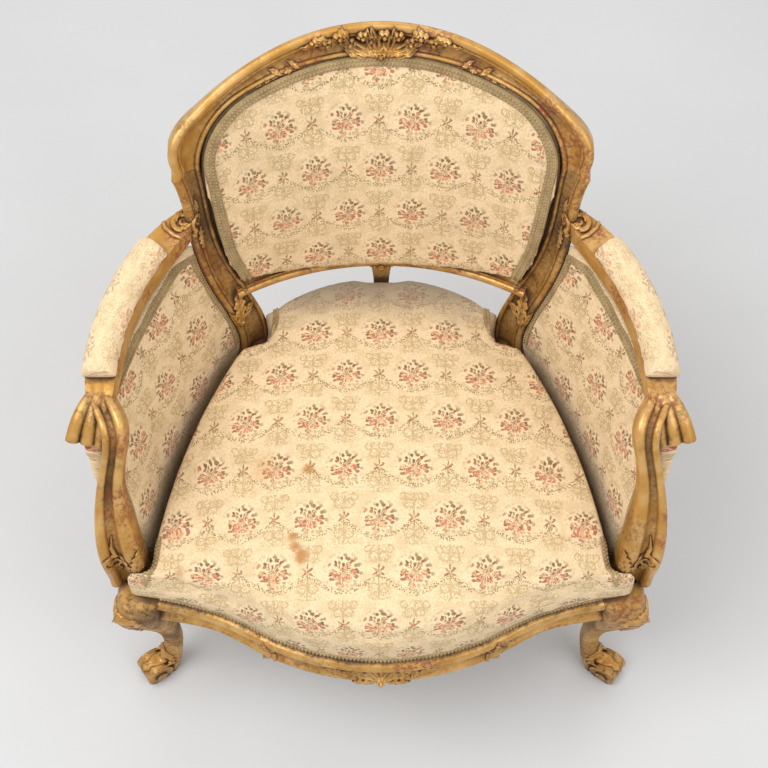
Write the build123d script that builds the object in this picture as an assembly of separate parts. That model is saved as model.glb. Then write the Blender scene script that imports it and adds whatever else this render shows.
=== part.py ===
from build123d import *
import os
from math import asin, atan2, cos, pi, radians, sin, sqrt

# An upholstered armchair in the rococo manner, in millimetres.
# Z is up and the sitter faces -Y. Right means +X, and left pieces are mirrored right ones.

# Seat frame
rail_bottom = 246.0        # floor to the underside of the seat rails
rail_height = 56.0
rail_thickness = 44.0
front_reach = 369.0        # from the seat's middle to the front rail's face
bow_radius = 365.0         # swelling middle of the serpentine front rail
bow_angle = 29.0
sweep_radius = 360.0       # hollow ends of the serpentine front rail
sweep_angle = 21.0
side_bow = 18.0            # how far the side rails swell outwards
rear_reach = 222.0         # from the seat's middle to the rear rail's face
rail_lip = 5.0             # how far the rail's two beads stand out
rail_bead = 16.0
rail_band = 18.0
rail_hollow = 4.0
apron_rise = 12.0          # shallow arches under the front rail
apron_span = 150.0
apron_place = 226.0
tenon_length = 18.0
tenon_thickness = 12.0
tenon_height = 34.0
tenon_clearance = 0.15
scribe = 14.0              # extra rail length that is cut to the legs' faces
block_reach = 62.0         # corner blocks
block_height = 38.0

# Front legs
leg_top = 54.0
leg_proud = 3.0
leg_turn = 35.0            # direction of knee and toe, from the X axis towards the front
leg_corner = 0.28          # corner rounding as a share of the section
knee_height = 268.0
knee_side = 60.0
knee_out = 8.0
calf_height = 180.0
calf_side = 38.0
calf_in = 8.0
ankle_height = 72.0
ankle_side = 28.0
ankle_in = 17.0
sole_side = 30.0
sole_out = 4.0
toe_radius = 21.0          # scroll of the foot
toe_width = 38.0
toe_out = 24.0
toe_cut = 3.0
toe_eye = 9.0
toe_boss = 3.0

# Rear legs and the back frame, which leans and bends round the sitter
back_lean = 16.0
back_radius = 365.0
back_foot_y = 186.0        # lower rail's middle, at the seat
back_foot_z = 440.0
frame_depth = 26.0
crest_rise = 385.0         # along the lean, from the lower rail to the crest
crest_radius = 385.0
shoulder_half = 261.0
shoulder_radius = 42.0
opening_rise = 341.0
opening_radius = 480.0
opening_half = 230.0
opening_shoulder = 90.0
crest_split = 0.647        # where the shoulder starts on each arch, as a share of its length
opening_split = 0.703
joint_level = 225.0        # crest and stile meet here, along the lean
waist_level = 170.0
panel_level = 85.0
rail_level = 10.0
neck_level = -40.0
foot_level = -135.0
waist_half = 225.5
panel_half = 215.0
rail_half = 192.0
neck_half = 174.0
foot_half = 168.0
waist_width = 27.0
panel_width = 30.0
rail_width = 37.0
foot_width = 40.0
inner_bead = 7.0           # moulding across crest and stiles
outer_bead = 11.0
bead_rise = 4.0
quirk = 1.5
fillet_width = 3.0
cove_dip = 3.0
edge_drop = 7.0
back_taper = 14.0
rear_block = 46.0
rear_splay_out = 28.0
rear_splay_back = 92.0
rear_splay_power = 1.6     # how sharply the rear legs kick out
rear_calf_side = 35.0
rear_ankle_side = 29.0
rear_sole_side = 32.0
lower_rail_rise = 22.0
lower_rail_drop = 2.0
lower_rail_curve = 10.0
lower_rail_set = 1.5       # how far it stands behind the stiles' faces
back_tenon_length = 16.0
back_tenon_thickness = 9.0
back_tenon_height = 16.0
strut_foot_width = 32.0
strut_width = 22.0
strut_thickness = 16.0
strut_tenon = 10.0
strut_housing = 5.0        # how far the strut's head is let into the lower rail

# Arms and their posts
arm_joint_level = 146.0    # arm meets the stile here, along the lean
arm_joint_half = 237.0
arm_front_height = 578.0
arm_front_x = 348.0
arm_front_y = -108.0
arm_bow = 30.0
arm_root = 22.0            # arm's end at the stile
arm_rail_width = 40.0
arm_rail_height = 28.0
arm_belly = 6.0
arm_top_rise = 0.6
collar_width = 34.0
collar_height = 25.0
scroll_width = 54.0        # fluted end of the arm
scroll_height = 15.0
scroll_out = 20.0
scroll_forward = 44.0
scroll_drop = 32.0
flute_rise = 6.0
post_foot_x = 342.0
post_foot_y = -236.0
post_knee_height = 392.0   # the post rises straight to here, then rakes back
post_middle_x = 345.0
post_middle_y = -200.0
post_middle_height = 470.0
post_neck_x = 330.0
post_neck_y = -164.0
post_neck_height = 548.0
post_foot_width = 56.0
post_foot_depth = 34.0
post_middle_width = 38.0
post_neck_width = 29.0
post_neck_depth = 26.0
dowel_radius = 4.5
dowel_length = 44.0
dowel_clearance = 0.2

# Upholstery
cover_thickness = 2.0
fit_clearance = 0.4
seat_inset = 8.0           # cover's edge behind the front rail's face
seat_corner_x = 348.0
seat_corner_round = 20.0
seat_back_y = 192.0
seat_rear_side = 50.0      # straight edge beside each rear leg
seat_crown = 124.0         # top of the dome above the rails
seat_dome_radius = 1350.0
seat_wall = 54.0           # upright part of the seat's edge
seat_roll_height = 86.0    # rolled part above it
seat_roll = 0.16           # how far the roll draws in, as a share of the seat
seat_middle_y = -85.0
hessian_inset = 4.0
hessian_thickness = 1.5
web_width = 50.0
web_thickness = 2.0
back_web_pitch = 110.0
web_pitch = 92.0
wing_thickness = 30.0      # side panels between arm, post and stile
wing_top_thickness = 16.0
wing_bow = 18.0
wing_crown = 9.0
wing_foot_in = 6.0
wing_front_in = 30.0
wing_room = 2.5            # room between a side panel and the carved frame
post_room = 5.0
under_arm_room = 2.0
opening_room = 3.0
back_crown = 20.0          # fullest part of the back's pad
back_roll = 13.0           # fullness over the lower rail
back_fade = 0.95           # how much of the fullness is lost at the sides
back_pad_edge = 3.0
back_layer = 3.0
gimp_width = 10.0
gimp_thickness = 2.6
pad_start = 0.24
pad_end = 0.95
pad_width = 52.0
pad_height = 26.0
pad_lift = 0.8
pad_round = 0.78           # fullness of the pad's shoulders

rail_top = rail_bottom + rail_height


def plan(x, y, z=0.0):
    return Vector(x, y, z)


def left_of(shape):
    return mirror(shape, about=Plane.YZ)


def face_of(points):
    # closed face through corners, where a middle value of three makes an arc
    edges = []
    for first, middle, last in points:
        if middle is None:
            edges.append(Line(first, last))
        else:
            edges.append(ThreePointArc(first, middle, last))
    return make_face(edges)


def rounded_square(side):
    return RectangleRounded(side, side, side * leg_corner)


# Serpentine front line, shared by the front rail and the seat


def front_line(inset):
    turn = radians(bow_angle)
    finish = radians(bow_angle - sweep_angle)
    halfway = radians(bow_angle - sweep_angle / 2)
    bow_centre = plan(0, bow_radius - front_reach)
    sweep_centre = bow_centre + plan(sin(turn), -cos(turn)) * (bow_radius + sweep_radius)
    join = bow_centre + plan(sin(turn), -cos(turn)) * (bow_radius - inset)
    reach = sweep_radius + inset
    hollow = sweep_centre + plan(-sin(halfway), cos(halfway)) * reach
    end = sweep_centre + plan(-sin(finish), cos(finish)) * reach
    return plan(0, inset - front_reach), join, hollow, end


front_end = front_line(0)[3]
leg_x = front_end.X + leg_top / 2
leg_y = front_end.Y + leg_top / 2 - leg_proud


# Back frame on its leaning cylinder, in its own upright frame before it is leant


def lean(shape):
    return Location((0, back_foot_y, back_foot_z), (-back_lean, 0, 0)) * shape


def leant(point):
    tilt = radians(back_lean)
    y = back_foot_y + point.Y * cos(tilt) + point.Z * sin(tilt)
    z = back_foot_z - point.Y * sin(tilt) + point.Z * cos(tilt)
    return Vector(point.X, y, z)


def on_back(x, level, depth=0.0):
    angle = asin(x / back_radius)
    reach = back_radius + depth
    return Vector(reach * sin(angle), reach * cos(angle) - back_radius, level)


def back_station(inner, outer):
    start = on_back(*inner)
    end = on_back(*outer)
    across = (end - start).normalized()
    middle = (start + end) * 0.5
    towards_axis = Vector(-middle.X, -back_radius - middle.Y, 0).normalized()
    front = (towards_axis - across * towards_axis.dot(across)).normalized()
    return Plane(start, x_dir=across, z_dir=across.cross(front)), (end - start).length


def moulding(width):
    # section of crest, stiles and lower rail: bead, hollow, fillet and broad outer bead
    hollow_end = width - outer_bead - fillet_width
    bead_start = width - outer_bead
    return face_of([
        ((0, -frame_depth), None, (0, -bead_rise)),
        ((0, -bead_rise), (inner_bead / 2, 0), (inner_bead, -bead_rise)),
        ((inner_bead, -bead_rise), None, (inner_bead, -bead_rise - quirk)),
        ((inner_bead, -bead_rise - quirk), ((inner_bead + hollow_end) / 2, -bead_rise - cove_dip),
         (hollow_end, -quirk)),
        ((hollow_end, -quirk), None, (hollow_end, 0)),
        ((hollow_end, 0), None, (bead_start, 0)),
        ((bead_start, 0), None, (bead_start, -quirk)),
        ((bead_start, -quirk), (width - outer_bead / 3, bead_rise), (width, -edge_drop)),
        ((width, -edge_drop), None, (width - back_taper, -frame_depth)),
        ((width - back_taper, -frame_depth), None, (0, -frame_depth)),
    ])


def moulded(pairs):
    sections = []
    for inner, outer in pairs:
        place, width = back_station(inner, outer)
        sections.append(place * moulding(width))
    return loft(sections)


def arch(rise, radius, shoulder, half):
    # half arch from the crown to the crest joint, as one wire in X and level
    side = half - shoulder
    low = rise - radius
    shoulder_level = low + sqrt((radius - shoulder) ** 2 - side ** 2)
    turn = atan2(side, shoulder_level - low)
    half_turn = turn / 2
    bend = (turn + pi / 2) / 2
    join = (radius * sin(turn), low + radius * cos(turn))
    end = (half, shoulder_level)
    edges = [
        ThreePointArc((0, rise), (radius * sin(half_turn), low + radius * cos(half_turn)), join),
        ThreePointArc(join, (side + shoulder * sin(bend), shoulder_level + shoulder * cos(bend)), end),
    ]
    if shoulder_level > joint_level:
        edges.append(Line(end, (half, joint_level)))
    return Wire(edges)


outer_arch = arch(crest_rise, crest_radius, shoulder_radius, shoulder_half)
inner_arch = arch(opening_rise, opening_radius, opening_shoulder, opening_half)


def flat(point):
    return point.X, point.Y


def crest_pairs():
    # partners on the two arches: square across the crest, then fanned round the shoulder
    pairs = []
    for step in range(5):
        share = step / 4
        pairs.append((share * opening_split, share * crest_split))
    for step in range(1, 6):
        share = step / 5
        pairs.append((opening_split + share * (1 - opening_split), crest_split + share * (1 - crest_split)))
    return [(flat(inner_arch @ a), flat(outer_arch @ b)) for a, b in pairs]


def mirrored(pair):
    (inner_x, inner_level), (outer_x, outer_level) = pair
    return (-inner_x, inner_level), (-outer_x, outer_level)


def crest_rail():
    right = crest_pairs()
    left = [mirrored(pair) for pair in reversed(right[1:])]
    return moulded(left + right)


stile_levels = [joint_level, waist_level, panel_level, rail_level, neck_level, foot_level]
stile_halves = [opening_half, waist_half, panel_half, rail_half, neck_half, foot_half]
stile_widths = [shoulder_half - opening_half, waist_width, panel_width, rail_width, foot_width, foot_width]


def stile():
    stations = zip(stile_levels, stile_halves, stile_widths)
    return moulded([((x, level), (x + width, level)) for level, x, width in stations])


stile_foot = leant(on_back(foot_half + foot_width / 2, foot_level, frame_depth / 2))
rear_x = stile_foot.X
rear_y = stile_foot.Y


def section_stack(stations):
    # smooth loft through upright-standing sections given as height, sketch, x and y
    return loft([Pos(x, y, height) * sketch for height, sketch, x, y in stations])


def rear_leg_blank():
    stations = []
    sides = (rear_sole_side, rear_ankle_side, rear_calf_side, rear_block)
    for share, side in zip((0, 0.3, 0.65, 1), sides):
        splay = (1 - share) ** rear_splay_power
        x = rear_x + rear_splay_out * splay
        y = rear_y + rear_splay_back * splay
        stations.append((share * rail_bottom, rounded_square(side), x, y))
    lower = section_stack(stations)
    block_top = stile_foot.Z + rear_block / 2
    block = Pos(rear_x, rear_y, rail_bottom) * extrude(rounded_square(rear_block), block_top - rail_bottom)
    return lower + block + lean(stile())


def front_leg_blank():
    turn = radians(leg_turn)

    def place(out):
        return leg_x + out * cos(turn), leg_y - out * sin(turn)

    stations = [
        (0, rounded_square(sole_side), *place(sole_out)),
        (ankle_height, rounded_square(ankle_side), *place(-ankle_in)),
        (calf_height, rounded_square(calf_side), *place(-calf_in)),
        (knee_height, rounded_square(knee_side), *place(knee_out)),
        (rail_top, rounded_square(leg_top), leg_x, leg_y),
    ]
    leg = section_stack(stations)
    toe_x, toe_y = place(toe_out)
    axis = Plane((toe_x, toe_y, toe_radius - toe_cut), x_dir=(0, 0, 1), z_dir=(sin(turn), cos(turn), 0))
    toe = extrude(axis * Circle(toe_radius), toe_width / 2, both=True)
    toe += extrude(axis * Circle(toe_eye), toe_width / 2 + toe_boss, both=True)
    floor = Pos(toe_x, toe_y, -toe_radius) * Box(4 * toe_width, 4 * toe_width, 2 * toe_radius)
    return leg + toe - floor


# Seat rails


def rail_section():
    lip = -rail_lip
    band_start = rail_height - rail_band
    return face_of([
        ((-rail_thickness, 0), None, (lip, 0)),
        ((lip, 0), (0, rail_bead / 2), (lip, rail_bead)),
        ((lip, rail_bead), (lip - rail_hollow, (rail_bead + band_start) / 2), (lip, band_start)),
        ((lip, band_start), (0, band_start + rail_band / 2), (lip, rail_height)),
        ((lip, rail_height), None, (-rail_thickness, rail_height)),
        ((-rail_thickness, rail_height), None, (-rail_thickness, 0)),
    ])


def plain_section():
    return Pos(-rail_thickness / 2, rail_height / 2) * Rectangle(rail_thickness, rail_height)


def rail_plane(point, along):
    # outside of the rail to the left of its direction, seen from above
    return Plane(point, x_dir=Vector(0, 0, 1).cross(along), z_dir=along)


def seat_rail(edges, section):
    path = Wire(edges)
    start_along = path % 0
    end_along = path % 1
    start = path @ 0
    end = path @ 1
    longer = Wire([Line(start - start_along * scribe, start), *edges, Line(end, end + end_along * scribe)])
    start_plane = rail_plane(longer @ 0, start_along)
    body = sweep(start_plane * section, path=longer)
    ends = [rail_plane(start, start_along), rail_plane(end, end_along)]
    tenons = []
    mortises = []
    for plane, sign in zip(ends, (-1, 1)):
        seat = plane * Pos(-rail_thickness / 2, rail_height / 2, sign * (tenon_length - scribe) / 2)
        reach = tenon_length + scribe
        tenons.append(seat * Box(tenon_thickness, tenon_height, reach))
        room = 2 * tenon_clearance
        mortises.append(seat * Box(tenon_thickness + room, tenon_height + room, reach + room))
    return body, tenons, mortises


def front_rail_edges():
    crown, join, hollow, end = [Vector(p.X, p.Y, rail_bottom) for p in front_line(0)]

    def flip(point):
        return Vector(-point.X, point.Y, point.Z)

    return [
        ThreePointArc(end, hollow, join),
        ThreePointArc(join, crown, flip(join)),
        ThreePointArc(flip(join), flip(hollow), flip(end)),
    ]


def side_rail_ends():
    rear = plan(rear_x + rear_block / 2 - leg_proud, rear_y - rear_block / 2, rail_bottom)
    front = plan(leg_x + leg_top / 2 - leg_proud, leg_y + leg_top / 2, rail_bottom)
    return rear, front


def bowed(start, end, bow):
    # arc that swells to the left of its direction, seen from above
    along = (end - start).normalized()
    middle = (start + end) * 0.5 + Vector(0, 0, 1).cross(along) * bow
    return ThreePointArc(start, middle, end)


def side_rail_edges():
    rear, front = side_rail_ends()
    return [bowed(rear, front, side_bow)]


def rear_rail_edges():
    start = plan(-rear_x + rear_block / 2, rear_y + rear_block / 2 - leg_proud, rail_bottom)
    end = plan(-start.X, start.Y, rail_bottom)
    return [ThreePointArc(start, plan(0, rear_reach, rail_bottom), end)]


def front_apron_arches():
    radius = ((apron_span / 2) ** 2 + apron_rise ** 2) / (2 * apron_rise)
    low = rail_bottom + apron_rise - radius
    arches = []
    for x in (-apron_place, apron_place):
        axis = Plane((x, -front_reach, low), x_dir=(1, 0, 0), z_dir=(0, 1, 0))
        arches.append(extrude(axis * Circle(radius), front_reach, both=True))
    return arches


# Arms and posts, right side


def arm_start():
    return leant(on_back(arm_joint_half, arm_joint_level, frame_depth / 2))


def plan_circle(start, end, bow):
    # centre, radius and end angles of a plan curve that swells outwards
    chord = (end - start).length
    radius = ((chord / 2) ** 2 + bow ** 2) / (2 * bow)
    outward = Vector(0, 0, 1).cross((end - start).normalized())
    centre = (start + end) * 0.5 - outward * (radius - bow)
    first = atan2(start.Y - centre.Y, start.X - centre.X)
    last = atan2(end.Y - centre.Y, end.X - centre.X)
    return centre, radius, first, last


def arm_circle():
    start = plan(arm_start().X, arm_start().Y)
    return plan_circle(start, plan(arm_front_x, arm_front_y), arm_bow)


arm_centre, arm_radius, arm_first, arm_last = arm_circle()


def arm_outward(share):
    angle = arm_first + (arm_last - arm_first) * share
    return Vector(cos(angle), sin(angle), 0)


def arm_along(share):
    return arm_outward(share).cross(Vector(0, 0, 1))


def arm_point(share, rise=0.0):
    level = arm_start().Z + (arm_front_height - arm_start().Z) * share
    point = arm_centre + arm_outward(share) * arm_radius
    return Vector(point.X, point.Y, level + rise)


def arm_plane(share, rise=0.0):
    length = arm_radius * (arm_first - arm_last)
    fall = Vector(0, 0, (arm_front_height - arm_start().Z) / length)
    direction = (arm_along(share) + fall).normalized()
    return Plane(arm_point(share, rise), x_dir=arm_outward(share), z_dir=direction)


def arm_section(width, height, belly, lobe):
    # three lobes above, a rounded belly below
    half = width / 2
    third = width / 6
    top = height / 2
    low = -height / 2
    return face_of([
        ((-half, low), (0, low - belly), (half, low)),
        ((half, low), None, (half, top)),
        ((half, top), (2 * third, top + lobe), (third, top)),
        ((third, top), (0, top + lobe), (-third, top)),
        ((-third, top), (-2 * third, top + lobe), (-half, top)),
        ((-half, top), None, (-half, low)),
    ])


def arm_blank():
    rail = [arm_plane(0) * arm_section(arm_root, arm_root, arm_top_rise, arm_top_rise)]
    for share in (0.25, 0.45, 0.65, 0.85):
        rail.append(arm_plane(share) * arm_section(arm_rail_width, arm_rail_height, arm_belly, arm_top_rise))
    collar = arm_plane(1) * arm_section(collar_width, collar_height, arm_belly, arm_top_rise)
    rail.append(collar)
    scroll = [collar]
    end = arm_point(1)
    along = arm_along(1)
    out = arm_outward(1)
    for share, spread in ((0.5, 0.55), (1, 1)):
        drop = Vector(0, 0, scroll_drop * share * share)
        steep = Vector(0, 0, 2 * scroll_drop * share)
        middle = end + along * (scroll_forward * share) + out * (scroll_out * share) - drop
        heading = (along * scroll_forward + out * scroll_out - steep).normalized()
        across = (out - heading * out.dot(heading)).normalized()
        width = collar_width + (scroll_width - collar_width) * spread
        height = collar_height + (scroll_height - collar_height) * share
        section = arm_section(width, height, arm_belly, flute_rise * spread)
        scroll.append(Plane(middle, x_dir=across, z_dir=heading) * section)
    return loft(rail) + loft(scroll)


def post_section(width, depth):
    # bead outside, hollow, then the broad inner band, on a flat back
    half = width / 2
    front = -depth / 2
    back = depth / 2
    bead = width / 5
    band = -width / 10
    return face_of([
        ((half, back), None, (half, front / 2)),
        ((half, front / 2), ((half + bead) / 2, front), (bead, front / 2)),
        ((bead, front / 2), ((bead + band) / 2, front / 3), (band, front * 3 / 4)),
        ((band, front * 3 / 4), ((band - half) / 2, front), (-half, front / 2)),
        ((-half, front / 2), None, (-half, back)),
        ((-half, back), None, (half, back)),
    ])


def post_stations():
    foot = plan(post_foot_x, post_foot_y, rail_top)
    knee = plan(post_foot_x, post_foot_y, post_knee_height)
    middle = plan(post_middle_x, post_middle_y, post_middle_height)
    neck = plan(post_neck_x, post_neck_y, post_neck_height)
    top = arm_point(1)
    middle_depth = (post_foot_depth + post_neck_depth) / 2
    return [
        (foot, plan(0, 0, 1), post_foot_width, post_foot_depth),
        ((foot + knee) * 0.5, plan(0, 0, 1), post_foot_width, post_foot_depth),
        (knee, middle - foot, post_foot_width, post_foot_depth),
        (middle, neck - knee, post_middle_width, middle_depth),
        (neck, top - middle, post_neck_width, post_neck_depth),
        (top, top - neck, post_neck_width, post_neck_depth),
    ]


def post_blank():
    sections = []
    for point, heading, width, depth in post_stations():
        direction = heading.normalized()
        across = (plan(1, 0) - direction * direction.X).normalized()
        sections.append(Plane(point, x_dir=across, z_dir=direction) * post_section(width, depth))
    return loft(sections)


# Back frame's lower rail and its strut to the seat


def lower_rail_blank():
    pairs = []
    reach = rail_half + rail_width / 4
    for share in (1, 0.6, 0.25, -0.25, -0.6, -1):
        low = -lower_rail_drop - lower_rail_curve * share * share
        pairs.append(((share * reach, lower_rail_rise, lower_rail_set), (share * reach, low, lower_rail_set)))
    return lean(moulded(pairs))


def lower_rail_tenon(room):
    angle = asin(rail_half / back_radius)
    centre = on_back(rail_half, (lower_rail_rise - lower_rail_drop) / 2, frame_depth / 2)
    seat = Plane(centre, x_dir=(0, 0, 1), z_dir=(cos(angle), -sin(angle), 0))
    length = 2 * back_tenon_length + room
    return lean(seat * Box(back_tenon_height + room, back_tenon_thickness + room, length))


def strut_parts():
    low_y = rear_reach - rail_thickness / 3
    head = leant(Vector(0, frame_depth / 2, strut_housing - lower_rail_drop))
    waist_z = (rail_top + head.Z) / 2
    waist_y = (low_y + head.Y) / 2
    stations = [
        (rail_top, Rectangle(strut_foot_width, strut_thickness), 0, low_y),
        (waist_z, Rectangle(strut_width, strut_thickness), 0, waist_y),
        (head.Z, Rectangle(strut_foot_width, strut_thickness), 0, head.Y),
    ]
    foot = Pos(0, low_y, rail_top)
    return section_stack(stations), foot


def strut_tenon_at(foot, room):
    return foot * Box(strut_width + room, strut_tenon + room, 2 * tenon_length + room)


# Dowels


def crest_dowel(radius, length):
    middle = (opening_half + shoulder_half) / 2
    centre = on_back(middle, joint_level, frame_depth / 2)
    return lean(Pos(*centre) * Cylinder(radius, length))


def arm_dowel(radius, length):
    share = dowel_length / 3 / (arm_radius * (arm_first - arm_last))
    return arm_plane(share).location * Cylinder(radius, length)


# Corner blocks in the front of the seat frame


def corner_block():
    reach = leg_top / 2 + block_reach
    corners = [(leg_x, leg_y), (leg_x - reach, leg_y), (leg_x, leg_y + reach)]
    outline = make_face(Polyline(*corners, close=True))
    return Pos(0, 0, rail_bottom + (rail_height - block_height) / 2) * extrude(outline, block_height)


# Side panels: bands turned about an upright axis, cut to the frame in side view


def wing_circle():
    rear = plan(rear_x + wing_foot_in, rear_y - rear_block / 2)
    front = plan(post_foot_x - wing_front_in, post_foot_y - post_foot_depth / 2)
    return plan_circle(rear, front, wing_bow)


wing_centre, wing_radius, wing_first, wing_last = wing_circle()


def wing_lean():
    # the panel's top stands under the middle of the arm
    middle = arm_point(0.5)
    return (plan(middle.X, middle.Y) - wing_centre).length - wing_radius - wing_top_thickness / 2


def wing_side(depth, top, crown):
    # upright line or arc of the panel's section, as radius and height pairs
    share = depth / wing_thickness
    lean_there = wing_lean() + (wing_top_thickness - wing_thickness) * max(0, share)
    foot = (wing_radius + depth, rail_top)
    head = (wing_radius + depth + lean_there, top)
    middle = ((foot[0] + head[0]) / 2 - crown, (foot[1] + head[1]) / 2)
    return foot, middle, head


def wing_band(near, far, near_crown, far_crown):
    top = arm_start().Z
    edges = []
    inner = wing_side(near, top, near_crown)
    outer = wing_side(far, top, far_crown)
    for foot, middle, head, crown in ((*inner, near_crown), (*outer, far_crown)):
        edges.append(ThreePointArc(foot, middle, head) if crown else Line(foot, head))
    edges.append(Line(inner[0], outer[0]))
    edges.append(Line(inner[2], outer[2]))
    margin = radians(2)
    start = wing_last - margin
    sketch = Plane.XZ * make_face(edges)
    turned = revolve(sketch, Axis.Z, (wing_first - wing_last + 2 * margin) * 180 / pi)
    return Pos(*wing_centre) * Rot(0, 0, start * 180 / pi) * turned


def wing_outline(inset):
    # side view between stile, arm and post, as Y and Z
    rear = rear_y - rear_block / 2 - inset
    block_top = stile_foot.Z + rear_block / 2
    under = arm_rail_height / 2 + arm_belly + under_arm_room + inset
    head_level = arm_joint_level - under / cos(radians(back_lean))
    corners = [(rear, rail_top), (rear, block_top)]
    edge = [(neck_half + foot_width, neck_level), (rail_half + rail_width, rail_level)]
    edge += [(panel_half + panel_width, panel_level), (waist_half + waist_width, head_level)]
    for x, level in edge:
        point = leant(on_back(x, level))
        corners.append((point.Y - bead_rise - inset, min(point.Z, arm_start().Z - under)))
    for share in (0.25, 0.5, 0.75):
        point = arm_point(share)
        corners.append((point.Y, point.Z - under))
    for point, heading, width, depth in reversed(post_stations()):
        direction = plan(heading.Y, heading.Z).normalized()
        back = plan(point.Y, point.Z) + plan(direction.Y, -direction.X) * (depth / 2 + inset)
        corners.append((back.X, min(back.Y, arm_front_height - under)))
    return corners


def wing_window(inset):
    outline = make_face(Polyline(*wing_outline(inset), close=True))
    return extrude(Plane.YZ * outline, 2 * shoulder_half)


# Seat: an upholstered dome with upright sides


def seat_outline(grow):
    crown, join, hollow, end = front_line(seat_inset - grow)

    def flip(point):
        return plan(-point.X, point.Y)

    slope = radians(bow_angle - sweep_angle)
    side_x = seat_corner_x + grow
    turn_x = side_x - seat_corner_round
    turn = plan(turn_x, end.Y + (turn_x - end.X) * sin(slope) / cos(slope))
    side = plan(side_x, post_foot_y - post_foot_depth / 2 - post_room + grow)
    eased = 1 - cos(pi / 4)
    bend = plan(side_x - seat_corner_round * eased, turn.Y + (side.Y - turn.Y) * eased)
    notch = plan(post_foot_x - post_foot_width / 2 - post_room + grow, side.Y)
    reach = wing_radius - cover_thickness - fit_clearance + grow

    def beside_wing(share):
        angle = wing_last + (wing_first - wing_last) * share
        return plan(wing_centre.X + reach * cos(angle), wing_centre.Y + reach * sin(angle))

    front_side = beside_wing(post_foot_depth / (wing_radius * (wing_first - wing_last)))
    rear_side = beside_wing(1 - rear_block / 4 / (wing_radius * (wing_first - wing_last)))
    beside_leg = min(rear_x - rear_block / 2, foot_half) - post_room + grow
    corner = plan(beside_leg, rear_y - rear_block / 2)
    behind = plan(beside_leg, corner.Y + seat_rear_side + grow)
    back = plan(0, seat_back_y + grow)
    edges = [
        ThreePointArc(flip(join), crown, join),
        ThreePointArc(join, hollow, end),
        Line(end, turn),
        ThreePointArc(turn, bend, side),
        Line(side, notch),
        Line(notch, front_side),
        ThreePointArc(front_side, beside_wing(0.5), rear_side),
        Line(rear_side, corner),
        Line(corner, behind),
        ThreePointArc(behind, back, flip(behind)),
        Line(flip(behind), flip(corner)),
        Line(flip(corner), flip(rear_side)),
        ThreePointArc(flip(rear_side), flip(beside_wing(0.5)), flip(front_side)),
        Line(flip(front_side), flip(notch)),
        Line(flip(notch), flip(side)),
        ThreePointArc(flip(side), flip(bend), flip(turn)),
        Line(flip(turn), flip(end)),
        ThreePointArc(flip(end), flip(hollow), flip(join)),
    ]
    return make_face(edges)


def seat_dome(grow):
    radius = seat_dome_radius + grow
    return Pos(0, seat_middle_y, rail_top + seat_crown - seat_dome_radius) * Sphere(radius)


def seat_form(grow):
    outline = seat_outline(grow)
    rolled = [(0, 1), (seat_wall, 1)]
    for share in (0.4, 0.7, 1):
        turn = share * pi / 2
        rolled.append((seat_wall + seat_roll_height * sin(turn), 1 - seat_roll * (1 - cos(turn))))
    walls = loft([Pos(0, 0, rail_top + rise) * shrunk(outline, share) for rise, share in rolled], ruled=True)
    return walls & seat_dome(grow)


def shrunk(outline, share):
    centre = Pos(0, seat_middle_y)
    return centre * scale(centre.inverse() * outline, by=share)


def seat_straps():
    # webbing under the rails: straps from side to side, then from back to front
    field = extrude(seat_outline(0), -2 * web_thickness)
    for leg in (front_leg, left_of(front_leg)):
        field -= Pos(0, 0, -rail_bottom) * leg
    straps = []
    for step in (-1.5, -0.5, 0.5, 1.5):
        across = Pos(0, seat_middle_y + step * web_pitch, -web_thickness / 2)
        along = Pos(step * web_pitch, seat_middle_y, -web_thickness * 3 / 2)
        straps.append(field & across * Box(2 * seat_corner_x, web_width, web_thickness))
        straps.append(field & along * Box(web_width, 4 * front_reach, web_thickness))
    return Compound([Pos(0, 0, rail_bottom) * solid for strap in straps for solid in strap.solids()])


def seat_braid():
    # along the cover's lower edge, in front of the posts
    ring = seat_outline(gimp_thickness) - seat_outline(0)
    strip = Pos(0, 0, rail_top) * extrude(ring, gimp_width)
    front = post_foot_y - post_foot_depth / 2 - post_room
    field = Box(4 * seat_corner_x, 2 * front_reach, 4 * gimp_width)
    return strip & Pos(0, front - front_reach, rail_top) * field


# Back panel: layers turned about the back's axis, inside the frame's opening


def opening_outline(inset, depth):
    # the opening widens with the depth behind the frame's face
    narrow = 1 + (depth - opening_room) / back_radius
    points = [flat(inner_arch @ (step / 8)) for step in range(9)]
    points += [(waist_half, waist_level), (panel_half, panel_level)]
    right = [(x * narrow - inset, level - inset) for x, level in points]
    right[0] = (0, right[0][1])
    left = [(-x, level) for x, level in reversed(right)]
    side, side_level = right[-1]
    base = rail_half * narrow - inset
    low = lower_rail_rise + inset
    bend = (base + 2 * side) / 3
    bend_level = (side_level + low) / 2
    return make_face([
        Spline(left + right[1:]),
        ThreePointArc((side, side_level), (bend, bend_level), (base, low)),
        Line((base, low), (-base, low)),
        ThreePointArc((-base, low), (-bend, bend_level), (-side, side_level)),
    ])


def opening_prism(inset, depth=0.0):
    return extrude(Plane.XZ * opening_outline(inset, depth), back_radius, both=True)


def back_shell(near, far):
    # round layer between two depths behind the frame's face
    axis = Pos(0, -back_radius, -crest_rise / 2)
    outer = axis * Cylinder(back_radius + far, 2 * crest_rise, align=(Align.CENTER, Align.CENTER, Align.MIN))
    inner = axis * Cylinder(back_radius + near, 2 * crest_rise, align=(Align.CENTER, Align.CENTER, Align.MIN))
    return outer - inner


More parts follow.
